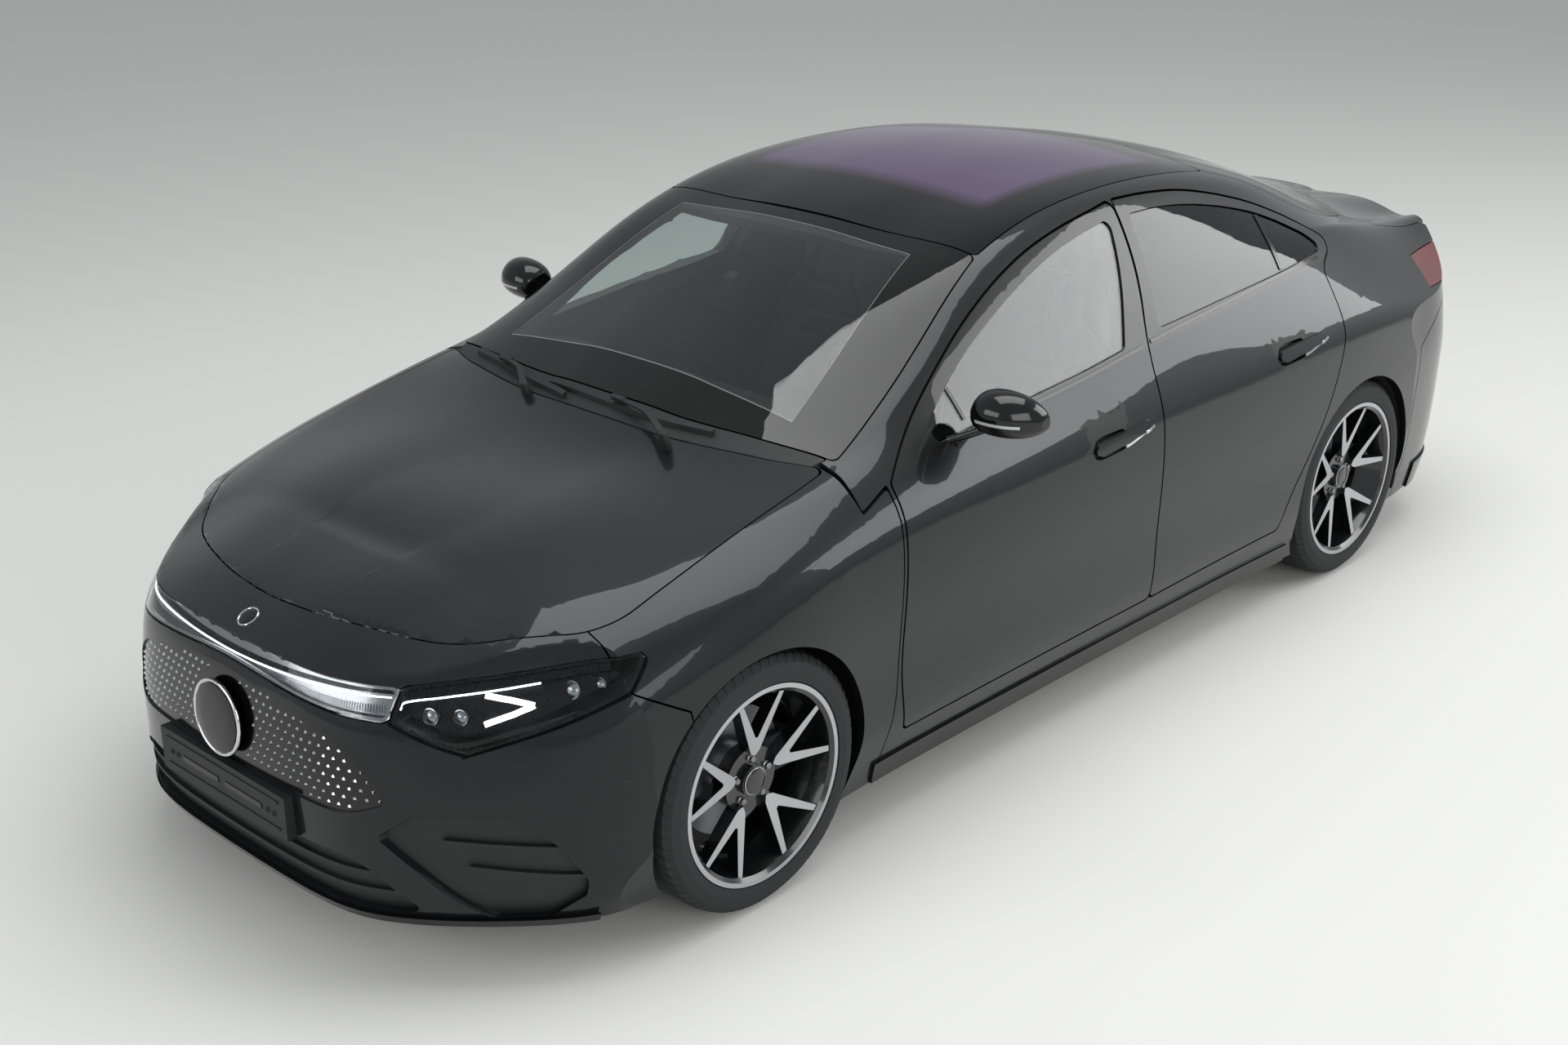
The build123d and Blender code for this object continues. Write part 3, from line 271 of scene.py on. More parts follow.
# %% Plastics, rubber, metal and trim
gloss_black = finish("gloss black moulding", "#080809", 0.12, Specular_IOR_Level=0.4,
                     Coat_Weight=0.2, Coat_Roughness=0.03)
mottle(gloss_black, 180, 0.09, 0.16)
black_plastic = finish("grained black polypropylene", "#131415", 0.55)
grain(black_plastic, 1.4, 0.12)
underseal = finish("felted wheel arch lining", "#0d0d0d", 0.92)
grain(underseal, 3.0, 0.5)
chrome = finish("polished chrome plate", "#d8dadb", 0.08, 1.0)
mottle(chrome, 60, 0.05, 0.12)
tyre_rubber = finish("tyre rubber", "#18191b", 0.74)
grain(tyre_rubber, 2.0, 0.06)
cast_iron = finish("cast iron", "#4d4f52", 0.58, 0.8)
grain(cast_iron, 1.5, 0.1)
disc_iron = finish("turned brake disc", "#8b8d90", 0.34, 1.0)
mottle(disc_iron, 25, 0.28, 0.42)
alloy_black = finish("gloss black wheel paint", "#0d0e0f", 0.2, Coat_Weight=0.7, Coat_Roughness=0.05)
mottle(alloy_black, 90, 0.16, 0.26)
alloy_bright = finish("diamond turned alloy", "#b9bcbe", 0.25, 0.9)
mottle(alloy_bright, 40, 0.20, 0.30)
leather = finish("black nappa leather", "#1b1c1e", 0.48, Sheen_Weight=0.15)
grain(leather, 2.2, 0.15, 4.0)
soft_trim = finish("slush moulded dashboard skin", "#16181a", 0.62)
grain(soft_trim, 1.8, 0.12, 4.0)
red_lens = finish("red acrylic lamp lens", "#5e0a0d", 0.06, Coat_Weight=1.0, Coat_Roughness=0.0)
mottle(red_lens, 30, 0.05, 0.10)
red_guide = finish("red light guide", "#c2181c", 0.15, Emission_Color=colour("#ff2a24"),
                   Emission_Strength=0.25)
mottle(red_guide, 20, 0.12, 0.2)
lamp_dark = finish("dark metallised lamp bezel", "#16181a", 0.28, 0.7)
mottle(lamp_dark, 30, 0.2, 0.34)
lamp_silver = finish("vapour coated reflector", "#8f9497", 0.2, 1.0)
mottle(lamp_silver, 20, 0.14, 0.26)
lens_clear = finish("clear polycarbonate lens", "#ffffff", 0.0, Transmission_Weight=1.0, IOR=1.2)
lit_guide = finish("lit daytime light guide", "#ffffff", 0.3, Emission_Color=colour("#f2f6ff"),
                   Emission_Strength=2.2)
mirror_glass = finish("silvered mirror glass", "#e6e9ea", 0.01, 1.0)
screen_black = finish("coated display glass", "#070809", 0.08, Coat_Weight=1.0, Coat_Roughness=0.02)
mottle(screen_black, 120, 0.06, 0.1)
pale_lens = finish("pale indicator lens", "#a9adad", 0.2, Coat_Weight=1.0)
mottle(pale_lens, 15, 0.15, 0.25)
print("materials:", len(bpy.data.materials))

# %% [markdown]
# Each CAD node gets the finish of the real piece. Where one node has two finishes, such as a door
# with a painted outside and a trimmed inside, a face's direction or place picks its slot.

# %% Give every CAD node its finish
def dress(node, *materials, pick=None):
    """Finishes for a CAD node. pick(centre, normal) gives the number of the finish for a face."""
    mesh = NODES[node].data
    mesh.materials.clear()
    for material in materials:
        mesh.materials.append(material)
    if pick:
        for face in mesh.polygons:
            face.material_index = pick(face.center, face.normal)


FINISHES = {
    paint: ("front_fenders", "front_bumper", "nose_panel", "rear_bumper", "bonnet", "boot_lid"),
    black_plastic: ("roof_frame", "front_intakes", "front_plate_bracket", "cowl_panel", "wipers"),
    gloss_black: ("cabin_mirror", "lower_trims"),
    underseal: ("underbody", "battery_pack", "wheel_arch_liners"),
    cast_iron: ("front_suspension_arms", "rear_wheel_carriers", "knuckle_left", "knuckle_right"),
    red_lens: ("tail_lamps", "boot_lamp_bar"),
    soft_trim: ("dashboard",),
    leather: ("seats", "steering_wheel"),
    lens_clear: ("front_lamps",),
}
for material, names in FINISHES.items():
    for node in names:
        dress(node, material)

LIGHT_BAR_END = 0.492
SCREEN_END = behind(1.107)
ROOF_END = behind(2.375)
RING_HEIGHT = 0.534
RING_INSIDE = 0.0855
RING_OUTSIDE = 0.0975
POCKET_LENGTH = 0.18


def on_ring(centre, normal):
    """The raised ring in the middle of the grille."""
    radius = math.hypot(centre.x, centre.z - RING_HEIGHT)
    return int(RING_INSIDE < radius < RING_OUTSIDE and centre.y < behind(-0.896))


def door_faces(sign, pocket_y):
    """0 for the outside and edges, 1 for the trimmed inside, 2 for the pocket behind the handle."""
    def pick(centre, normal):
        y, z, depth = centre.y - FRONT_AXLE, centre.z, sign * centre.x
        if pocket_y - 0.01 < y < pocket_y + POCKET_LENGTH and 0.78 < z < 0.92 and 0.87 < depth < 0.897:
            return 2
        return int(sign * normal.x < -0.2)
    return pick


dress("body_sides", paint, soft_trim,
      pick=lambda centre, normal: int(normal.x * centre.x < -0.25 * abs(centre.x)))
dress("lamp_housings", lamp_dark, lamp_silver,
      pick=lambda centre, normal: int(abs(centre.x) < LIGHT_BAR_END))
dress("fixed_glass", screen_glass, roof_glass, rear_screen_glass,
      pick=lambda centre, normal: 0 if centre.y < SCREEN_END else 1 if centre.y < ROOF_END else 2)
dress("grille_panel", gloss_black, chrome, pick=on_ring)
for side, sign in SIDES:
    for end, pocket_y in (("front", 1.29), ("rear", 2.238)):
        dress(f"{end}_door_{side}", door_paint, soft_trim, black_plastic, pick=door_faces(sign, pocket_y))
        dress(f"brake_disc_{end}_{side}", disc_iron)
    dress(f"front_door_glass_{side}", clear_glass)
    dress(f"rear_door_glass_{side}", privacy_glass)
    dress(f"door_mirror_{side}", gloss_black, mirror_glass,
          pick=lambda centre, normal: int(normal.y > 0.9 and centre.y > behind(0.87)))
print("dressed", len(NODES), "nodes")

# %% [markdown]
# Small pieces lie on the panels, so the script builds a search tree of one or more nodes and lands
# points on it. A piece is then a strip swept along such points, or a form turned about one.

# %% Landing points on the panels
def surface(*names):
    """A search tree over the meshes of these nodes."""
    points, faces = [], []
    for name in names:
        start = len(points)
        mesh = NODES[name].data
        points += [vertex.co.copy() for vertex in mesh.vertices]
        faces += [[start + v for v in face.vertices] for face in mesh.polygons]
    return BVHTree.FromPolygons(points, faces)


def land(tree, point, direction):
    """Where a ray from the point meets the surface, and the surface's outward normal there."""
    direction = Vector(direction).normalized()
    hit, normal, _, _ = tree.ray_cast(Vector(point), direction)
    if hit is None:
        raise ValueError(f"nothing under {tuple(round(c, 3) for c in point)}")
    return hit, normal if normal.dot(direction) < 0 else -normal


def put(name, data):
    """A new object in the scene."""
    thing = bpy.data.objects.new(name, data)
    bpy.context.scene.collection.objects.link(thing)
    return thing


def clean_mesh(name, vertices, faces):
    """A mesh from plain vertices and faces, welded and with its normals outwards."""
    mesh = bpy.data.meshes.new(name)
    mesh.from_pydata([tuple(v) for v in vertices], [], faces)
    edit = bmesh.new()
    edit.from_mesh(mesh)
    bmesh.ops.remove_doubles(edit, verts=edit.verts, dist=1e-6)
    bmesh.ops.recalc_face_normals(edit, faces=edit.faces)
    edit.to_mesh(mesh)
    edit.free()
    return mesh


def shade(mesh, degrees):
    """Smooth shading, apart from edges that turn by more than this."""
    mesh.shade_smooth()
    mesh.set_sharp_from_angle(angle=math.radians(degrees))


def mesh_piece(name, vertices, faces, material, body="body"):
    """A piece from plain vertices and faces."""
    mesh = clean_mesh(name, vertices, faces)
    mesh.materials.append(material)
    shade(mesh, 38)
    piece = put(name, mesh)
    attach(piece, body)
    return piece


def join_forms(forms):
    """Several (vertices, faces) pairs as one."""
    vertices, faces = [], []
    for points, polygons in forms:
        start = len(vertices)
        vertices += points
        faces += [[start + v for v in face] for face in polygons]
    return vertices, faces


def smooth_run(points, steps=6):
    """A Catmull-Rom curve through the points."""
    points = [Vector(p) for p in points]
    ends = [points[0] * 2 - points[1], *points, points[-1] * 2 - points[-2]]
    run = []
    for a, b, c, d in zip(ends, ends[1:], ends[2:], ends[3:]):
        for k in range(steps):
            t = k / steps
            run.append(0.5 * ((2 * b) + (c - a) * t + (2 * a - 5 * b + 4 * c - d) * t * t
                              + (3 * b - a - 3 * c + d) * t ** 3))
    return run + [points[-1]]


def sweep(run, section, up):
    """A closed section of (across, out) pairs carried along a run, with an outward vector for each point.

    The section may also be a function that gives it from the share of the run that is done."""
    vertices, faces = [], []
    section_at = section if callable(section) else lambda share: section
    count = len(section_at(0))
    for i, point in enumerate(run):
        along = (run[min(i + 1, len(run) - 1)] - run[max(i - 1, 0)]).normalized()
        out = up[i]
        out = (out - along * out.dot(along)).normalized()
        across = along.cross(out)
        vertices += [point + across * a + out * b for a, b in section_at(i / (len(run) - 1))]
        if i:
            for j in range(count):
                k = (j + 1) % count
                faces.append([(i - 1) * count + j, (i - 1) * count + k, i * count + k, i * count + j])
    faces.append(list(range(count - 1, -1, -1)))
    faces.append([(len(run) - 1) * count + j for j in range(count)])
    return vertices, faces


def flat_section(width, height, soft=0.25):
    """A strip's section: a flat bar with its outer corners taken off."""
    w, c = width / 2, min(width, height) * soft
    return [(-w, 0), (w, 0), (w, height - c), (w - c, height), (c - w, height), (-w, height - c)]
    return [(-w, 0), (w, 0), (w, height - c), (w - c, height), (c - w, height), (-w, height - c)]


def turned_form(profile, sides, centre=Vector(), axis=Vector((1, 0, 0))):
    """A closed solid turned from (radius, along) pairs."""
    side = axis.cross(Vector((0, 0, 1)))
    side = side.normalized() if side.length > 1e-4 else Vector((1, 0, 0))
    up = side.cross(axis).normalized()
    vertices, faces, loops = [], [], []
    for radius, along in profile:
        if radius == 0:
            loops.append([len(vertices)] * sides)
            vertices.append(centre + axis * along)
            continue
        loops.append(list(range(len(vertices), len(vertices) + sides)))
        for k in range(sides):
            t = 2 * math.pi * k / sides
            vertices.append(centre + axis * along + (side * math.cos(t) + up * math.sin(t)) * radius)
    for low, high in zip(loops, loops[1:]):
        for k in range(sides):
            n = (k + 1) % sides
            face = list(dict.fromkeys([low[k], low[n], high[n], high[k]]))
            if len(face) > 2:
                faces.append(face)
    return vertices, faces


print("helpers ready")

# %% [markdown]
# The wheels are one casting in gloss black. After painting, the front edges of the five V spokes
# and a thin ring at the rim are turned on a lathe, which leaves bare bright metal. On the model
# that is a choice of finish for each face: those that look outwards and lie as far out as the
# dished band are bright.

# %% Wheel faces
def wheel_places():
    """Each wheel's body, side sign and axle."""
    for side, sign in SIDES:
        for end, y in (("front", FRONT_AXLE), ("rear", REAR_AXLE)):
            yield f"{end}_{side}", sign, y

BAND_START = 0.066
BAND_LIFT = 0.072
SPOKE_SPAN = (0.074, 0.236)
RIM_RING_SPAN = (0.2435, 0.262)
RIM_RING_LIFT = 0.104


def band_depth(radius):
    """How far out of the wheel's middle plane the turned band lies at a radius."""
    return BAND_LIFT + max(0.0, radius - BAND_START) / 0.172 * 0.026


def turned(sign, axle):
    """1 for the faces that the lathe leaves bright."""
    def pick(centre, normal):
        radius = math.hypot(centre.y - axle, centre.z - WHEEL_RADIUS)
        out = sign * centre.x - HALF_TRACK
        on_spoke = SPOKE_SPAN[0] < radius < SPOKE_SPAN[1] and out > band_depth(radius) - 0.003
        on_rim = RIM_RING_SPAN[0] < radius < RIM_RING_SPAN[1] and out > RIM_RING_LIFT
        return int(sign * normal.x > 0.8 and (on_spoke or on_rim))
    return pick


for corner, sign, axle in wheel_places():
    dress(f"wheel_{corner}", alloy_black, alloy_bright, pick=turned(sign, axle))
    dress(f"tyre_{corner}", tyre_rubber)
bright = sum(face.material_index for face in NODES["wheel_front_left"].data.polygons)
print("turned faces on one wheel:", bright)

# %% [markdown]
# The solids of the bonnet and the nose panel swell upwards near the light bar, where their loft
# swings out between two sections. The real skin falls there in one even curve. So both panels are
# copied, cut finer near the front, and their points are lowered to the height of the body lines.

# %% Even the front of the bonnet and the nose
# Half width and height of the body lines, from the middle outwards, at places behind the front axle
BODY_LINES = (
    {-1: (0, 0.63), -0.7: (0, 0.797), -0.36: (0, 0.87), 0: (0, 0.925), 0.2: (0, 0.954)},
    {-1: (0.14, 0.629), -0.7: (0.155, 0.795), -0.36: (0.19, 0.872), 0: (0.21, 0.927), 0.25: (0.225, 0.966)},
    {-1: (0.28, 0.628), -0.7: (0.31, 0.781), -0.36: (0.37, 0.869), 0: (0.41, 0.926), 0.25: (0.44, 0.963)},
    {-1: (0.4, 0.625), -0.7: (0.45, 0.752), -0.36: (0.52, 0.85), 0: (0.58, 0.912), 0.25: (0.6, 0.955)},
    {-1: (0.5, 0.62), -0.7: (0.56, 0.722), -0.36: (0.64, 0.832), 0: (0.7, 0.9), 0.25: (0.718, 0.948)},
    {-1: (0.6, 0.61), -0.7: (0.655, 0.695), -0.36: (0.735, 0.803), 0: (0.78, 0.88), 0.25: (0.792, 0.925)},
)
# Height of the lamps' top edge at distances from the middle
LAMP_TOP = {0: (0.712,), 0.111: (0.712,), 0.337: (0.72,), 0.49: (0.722,), 0.636: (0.738,), 0.805: (0.766,)}
LONGEST_EDGE = 0.030
FRONT_ZONE = behind(-0.36)


def smooth_between(table, at):
    """Values of a table at a place, with smooth slopes through its rows."""
    keys = sorted(table)
    gaps = [b - a for a, b in zip(keys, keys[1:])]
    i = max(0, min(len(gaps) - 1, sum(1 for k in keys if k <= at) - 1))
    t = (at - keys[i]) / gaps[i]
    values = []
    for column in range(len(table[keys[0]])):
        v = [table[k][column] for k in keys]
        rise = [(b - a) / gap for a, b, gap in zip(v, v[1:], gaps)]
        inner = [(rise[k - 1] * gaps[k] + rise[k] * gaps[k - 1]) / (gaps[k] + gaps[k - 1])
                 for k in range(1, len(gaps))]
        slope = [rise[0], *inner, rise[-1]]
        values.append((2 * t**3 - 3 * t**2 + 1) * v[i] + (t**3 - 2 * t**2 + t) * gaps[i] * slope[i]
                      + (3 * t**2 - 2 * t**3) * v[i + 1] + (t**3 - t**2) * gaps[i] * slope[i + 1])
    return values


def even_height(x, y):
    """The skin's height where the body lines put it."""
    across = [smooth_between(line, y) for line in BODY_LINES]
    row = {width: (height,) for width, height in across}
    row[-across[1][0]] = (across[1][1],)
    return smooth_between(row, abs(x))[0]


def ramp(value, low, high):
    """0 below low, 1 above high and smooth between."""
    t = min(1.0, max(0.0, (value - low) / (high - low)))
    return t * t * (3 - 2 * t)


front_skins = surface("bonnet", "nose_panel")


def skin_top(x, y, z):
    """The height of the swollen skin over a point, or the point's own height at an edge."""
    for dx, dy in ((0, 0), (0, 0.004), (0, 0.008), (-0.004, 0.004), (0.004, 0.004), (0, -0.004), (0, 0.014)):
        hit = front_skins.ray_cast(Vector((x + dx, y + dy, 1.5)), Vector((0, 0, -1)))[0]
        if hit:
            return max(hit.z, z)
    return z


def even_panel(name, node, body):
    """A copy of a panel with its front lowered to the body lines, which stands for the node."""
    mesh = NODES[node].data.copy()
    edit = bmesh.new()
    edit.from_mesh(mesh)
    bmesh.ops.remove_doubles(edit, verts=edit.verts, dist=1e-5)
    for _ in range(3):
        long_edges = [e for e in edit.edges
                      if e.calc_length() > LONGEST_EDGE and min(v.co.y for v in e.verts) < FRONT_ZONE]
        if long_edges:
            bmesh.ops.subdivide_edges(edit, edges=long_edges, cuts=1)
            bmesh.ops.triangulate(edit, faces=[f for f in edit.faces if len(f.verts) > 4])
    edit.normal_update()
    for vertex in edit.verts:
        x, y, z = vertex.co.x, vertex.co.y - FRONT_AXLE, vertex.co.z
        # The whole change in the middle and at the front, and none towards the fenders and the back
        share = (1 - ramp(abs(x), 0.50, 0.64)) * (1 - ramp(y, -0.50, -0.38))
        if share <= 0:
            continue
        lamp = smooth_between(LAMP_TOP, abs(x))[0]
        even = max(even_height(x, y), lamp + 0.002)
        outer = vertex.normal.z > 0.5 or vertex.normal.x * x > 0.6 * abs(x)
        top = z if outer else skin_top(x, vertex.co.y, z)
        # Heights from the lamps' top edge up to the swollen skin now end at the even skin
        if z > lamp and top - lamp > 0.004:
            vertex.co.z += share * (lamp + (z - lamp) * (even - lamp) / (top - lamp) - z)
    edit.normal_update()
    edit.to_mesh(mesh)
    edit.free()
    mesh.materials.clear()
    mesh.materials.append(paint)
    shade(mesh, 32)
    piece = put(name, mesh)
    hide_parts(node)
    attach(piece, body)
    return piece


for name, node, body in (("bonnet_skin", "bonnet", "bonnet"), ("nose_skin", "nose_panel", "body")):
    skin = even_panel(name, node, body)
    print(name, "faces:", len(skin.data.polygons))

# %% [markdown]
# A car repeats many small parts round an axle: tread blocks, bolts. One Geometry Nodes tree takes
# one of them, modelled about the origin, and sets copies of it round the axle.

# %% Copies round an axle
def tree_of(name, sockets):
    """A Geometry Nodes tree with these named inputs: float, int, or a material for None."""
    kinds = {float: "NodeSocketFloat", int: "NodeSocketInt", type(None): "NodeSocketMaterial"}
    tree = bpy.data.node_groups.new(name, "GeometryNodeTree")
    tree.interface.new_socket("Geometry", in_out="INPUT", socket_type="NodeSocketGeometry")
    for socket, value in sockets.items():
        item = tree.interface.new_socket(socket, in_out="INPUT", socket_type=kinds[type(value)])
        if value is not None:
            item.default_value = value
    tree.interface.new_socket("Geometry", in_out="OUTPUT", socket_type="NodeSocketGeometry")
    return tree


def close_tree(tree, given, source, output):
    """Ends a tree with Realize Instances, Set Material and the output."""
    real = add_node(tree, "GeometryNodeRealizeInstances", None, {"Geometry": (source, output)})
    coat = add_node(tree, "GeometryNodeSetMaterial", None,
                    {"Geometry": (real, "Geometry"), "Material": (given, "Finish")})
    add_node(tree, "NodeGroupOutput", None, {"Geometry": (coat, "Geometry")})


def grow(name, tree, base, inputs, material, body="body", smooth=False):
    """Runs a tree on a base mesh and keeps the result as a plain piece."""
    carrier = put(name + "_base", base)
    modifier = carrier.modifiers.new("grow", "NODES")
    modifier.node_group = tree
    sockets = {item.name: item.identifier for item in tree.interface.items_tree if item.in_out == "INPUT"}
    for socket, value in {**inputs, "Finish": material}.items():
        modifier[sockets[socket]] = value
    graph = bpy.context.evaluated_depsgraph_get()
    mesh = bpy.data.meshes.new_from_object(carrier.evaluated_get(graph))
    bpy.data.objects.remove(carrier)
    if smooth:
        shade(mesh, 35)
    piece = put(name, mesh)
    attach(piece, body)
    return piece


axle_copies = tree_of("copies round an axle",
                      {"Copies": 5, "Axle X": 0.0, "Axle Y": 0.0, "Axle Z": 0.0, "Finish": None})
given = add_node(axle_copies, "NodeGroupInput")
stations = add_node(axle_copies, "GeometryNodeMeshLine", {"Offset": (0, 0, 0)}, {"Count": (given, "Copies")})
number = add_node(axle_copies, "GeometryNodeInputIndex")
step = add_node(axle_copies, "ShaderNodeMath", {"operation": "DIVIDE", 0: 2 * math.pi},
                {1: (given, "Copies")})
angle = add_node(axle_copies, "ShaderNodeMath", {"operation": "MULTIPLY"},
                 {0: (number, "Index"), 1: (step, 0)})
turn = add_node(axle_copies, "ShaderNodeCombineXYZ", None, {"X": (angle, 0)})
copies = add_node(axle_copies, "GeometryNodeInstanceOnPoints", None,
                  {"Points": (stations, "Mesh"), "Instance": (given, "Geometry"), "Rotation": (turn, 0)})
axle = add_node(axle_copies, "ShaderNodeCombineXYZ", None, {axis: (given, "Axle " + axis) for axis in "XYZ"})
moved = add_node(axle_copies, "GeometryNodeTransform", None,
                 {"Geometry": (copies, "Instances"), "Translation": (axle, 0)})
close_tree(axle_copies, given, moved, "Geometry")

# %% [markdown]
# The tyre's shoulder is cut into blocks by grooves, which is what the eye reads as tread. Each
# block is 1.5 mm proud of the tyre and follows its shoulder, with a slanted side. The middle of
# the tread stays smooth, because it shows only at a grazing angle.

# %% Tread blocks
TYRE_HALF_WIDTH = 0.1125
TREAD_BLOCKS = 68
BLOCK_SHARE = 0.36
BLOCK_LEAN = 0.09
BLOCK_LIFT = 0.0015
BLOCK_SINK = 0.003
# How far in from the tyre's side, and how far below its full radius
SHOULDER = ((0.006, 0.0222), (0.020, 0.0066), (0.040, 0.0023), (0.056, 0.0008))


def tread_block(sign):
    """Two blocks, one on each shoulder, for a wheel whose middle is at the origin."""
    forms = []
    for edge in (1, -1):
        vertices, faces = [], []
        for i, (inset, drop) in enumerate(SHOULDER):
            lean = BLOCK_LEAN * i / (len(SHOULDER) - 1) * edge * sign
            for share in (-BLOCK_SHARE, BLOCK_SHARE):
                turn = 2 * math.pi / TREAD_BLOCKS * share + lean
                for lift in (BLOCK_LIFT, -BLOCK_SINK):
                    r = min(WHEEL_RADIUS - drop + lift, WHEEL_RADIUS - 0.0001)
                    x = edge * (TYRE_HALF_WIDTH - inset)
                    vertices.append(Vector((x, r * math.sin(turn), r * math.cos(turn))))
        for i in range(len(SHOULDER) - 1):
            a, b = 4 * i, 4 * i + 4
            faces += [[a, a + 2, b + 2, b], [a + 1, b + 1, b + 3, a + 3],
                      [a, b, b + 1, a + 1], [a + 2, a + 3, b + 3, b + 2]]
        last = 4 * (len(SHOULDER) - 1)
        faces += [[0, 1, 3, 2], [last, last + 2, last + 3, last + 1]]
        forms.append((vertices, faces))
    return join_forms(forms)


for corner, sign, axle_y in wheel_places():
    grow(f"tread_blocks_{corner}", axle_copies, clean_mesh("tread_block", *tread_block(sign)),
         {"Copies": TREAD_BLOCKS, "Axle X": sign * HALF_TRACK, "Axle Y": axle_y, "Axle Z": WHEEL_RADIUS},
         tyre_rubber, f"wheel_{corner}")
print("tread blocks on one tyre:", 2 * TREAD_BLOCKS)

# %% [markdown]
# Each wheel has five bolts in deep seats between its spokes and a plain cap over the hub. A bolt
# head is a hexagon with its corners taken off and a round washer under it.

# %% Wheel bolts and caps
BOLT_CIRCLE = 0.056
BOLT_SEAT = 0.0575
CAP_SEAT = 0.0718
WASHER = [(0, -0.002), (0.011, -0.002), (0.011, 0.002), (0.009, 0.0035), (0, 0.0035)]
BOLT_HEAD = [(0, 0.003), (0.0088, 0.003), (0.0088, 0.011), (0.0070, 0.0128), (0, 0.0128)]
CAP = [(0, 0), (0.034, 0), (0.034, 0.002), (0.031, 0.0045), (0.018, 0.0062), (0, 0.0068)]
CAP_RING = [(0.0335, 0.0015), (0.0355, 0.0015), (0.0355, 0.0030), (0.0335, 0.0036), (0.0335, 0.0015)]

for corner, sign, axle_y in wheel_places():
    out = Vector((sign, 0, 0))
    seat = Vector((0, 0, BOLT_CIRCLE))
    bolt = join_forms([turned_form(WASHER, 16, seat, out), turned_form(BOLT_HEAD, 6, seat, out)])
    grow(f"wheel_bolts_{corner}", axle_copies, clean_mesh("bolt", *bolt),
         {"Copies": 5, "Axle X": sign * (HALF_TRACK + BOLT_SEAT), "Axle Y": axle_y, "Axle Z": WHEEL_RADIUS},
         disc_iron, f"wheel_{corner}", smooth=True)
    middle = Vector((sign * (HALF_TRACK + CAP_SEAT), axle_y, WHEEL_RADIUS))
    cap = turned_form(CAP, 40, middle, out)
    mesh_piece(f"wheel_cap_{corner}", *cap, alloy_black, f"wheel_{corner}")
    ring = turned_form(CAP_RING, 48, middle, out)
    mesh_piece(f"wheel_cap_ring_{corner}", *ring, alloy_bright, f"wheel_{corner}")
print("bolts and caps on", len(list(wheel_places())), "wheels")

# %% [markdown]
# The grille is a gloss panel with rows of small bright studs. A few hundred are the same, so a
# Geometry Nodes tree puts one low diamond on each point of a staggered grid that was landed on
# the panel, turned to the panel's own direction there.

# %% Studs on the grille
facing_copies = tree_of("diamonds on points",
                        {"Stud width": 0.0046, "Stud height": 0.003, "Corners": 4, "Finish": None})
given = add_node(facing_copies, "NodeGroupInput")
diamond = add_node(facing_copies, "GeometryNodeMeshCone", {"Radius Top": 0.0012},
                   {"Radius Bottom": (given, "Stud width"), "Depth": (given, "Stud height"),
                    "Vertices": (given, "Corners")})
facing = add_node(facing_copies, "GeometryNodeInputNamedAttribute",
                  {"data_type": "FLOAT_VECTOR", "Name": "facing"})
turn = add_node(facing_copies, "FunctionNodeAlignEulerToVector", {"axis": "Z"},
                {"Vector": (facing, "Attribute")})
spread = add_node(facing_copies, "GeometryNodeInstanceOnPoints", None,
                  {"Points": (given, "Geometry"), "Instance": (diamond, "Mesh"),
                   "Rotation": (turn, "Rotation")})
close_tree(facing_copies, given, spread, "Instances")


def point_mesh(name, places, edges=()):
    """A mesh of bare points, each with the direction it faces."""
    mesh = bpy.data.meshes.new(name)
    mesh.from_pydata([tuple(point) for point, _ in places], list(edges), [])
    facing = mesh.attributes.new("facing", "FLOAT_VECTOR", "POINT")
    for item, (_, normal) in zip(facing.data, places):
        item.vector = normal
    return mesh


GRILLE_TOP = [(0.0, 0.656), (0.15, 0.650), (0.30, 0.626), (0.376, 0.598), (0.450, 0.540), (0.508, 0.458)]
GRILLE_LOW = [(0.0, 0.432), (0.277, 0.432), (0.415, 0.424), (0.508, 0.458)]
STUD_ROW = 0.0215
STUD_COLUMN = 0.0265
LOWEST_ROW = 0.430
STUD_MARGIN = 0.010
RING_CLEAR = 0.112
AHEAD = behind(-1.2)
FRONT_LOOK = (0, 1, 0)


def height_at(line, x):
    """Height of a broken line at x, or nothing past its end."""
    for (x0, z0), (x1, z1) in zip(line, line[1:]):
        if x0 <= x <= x1:
            return z0 + (z1 - z0) * (x - x0) / (x1 - x0)
    return None


grille_skin = surface("grille_panel")
stud_places = []
for row in range(11):
    z = LOWEST_ROW + STUD_ROW * (row + 0.5)
    for column in range(-20, 21):
        x = STUD_COLUMN * (column + (0.5 if row % 2 else 0.0))
        top, low = height_at(GRILLE_TOP, abs(x)), height_at(GRILLE_LOW, abs(x))
        if top is None or not low + STUD_MARGIN < z < top - STUD_MARGIN:
            continue
        if math.hypot(x, z - RING_HEIGHT) >= RING_CLEAR:
            stud_places.append(land(grille_skin, (x, AHEAD, z), FRONT_LOOK))
grow("grille_studs", facing_copies, point_mesh("studs", stud_places),
     {"Stud width": 0.0052, "Stud height": 0.0034, "Corners": 4}, chrome)
print("studs:", len(stud_places))

# %% [markdown]
# A plain blank disc fills the ring in the middle of the grille, and a small blank disc with a
# bright rim sits on the nose above it.

# %% Blank discs
BADGE_Y = -0.789
BADGE_HALF = 0.014


def disc_profile(radius, thick, dome):
    """A coin with a slightly domed face."""
    return [(0, -0.001), (radius, -0.001), (radius, thick * 0.6), (radius * 0.97, thick),
            (radius * 0.6, thick + dome * 0.7), (0, thick + dome)]


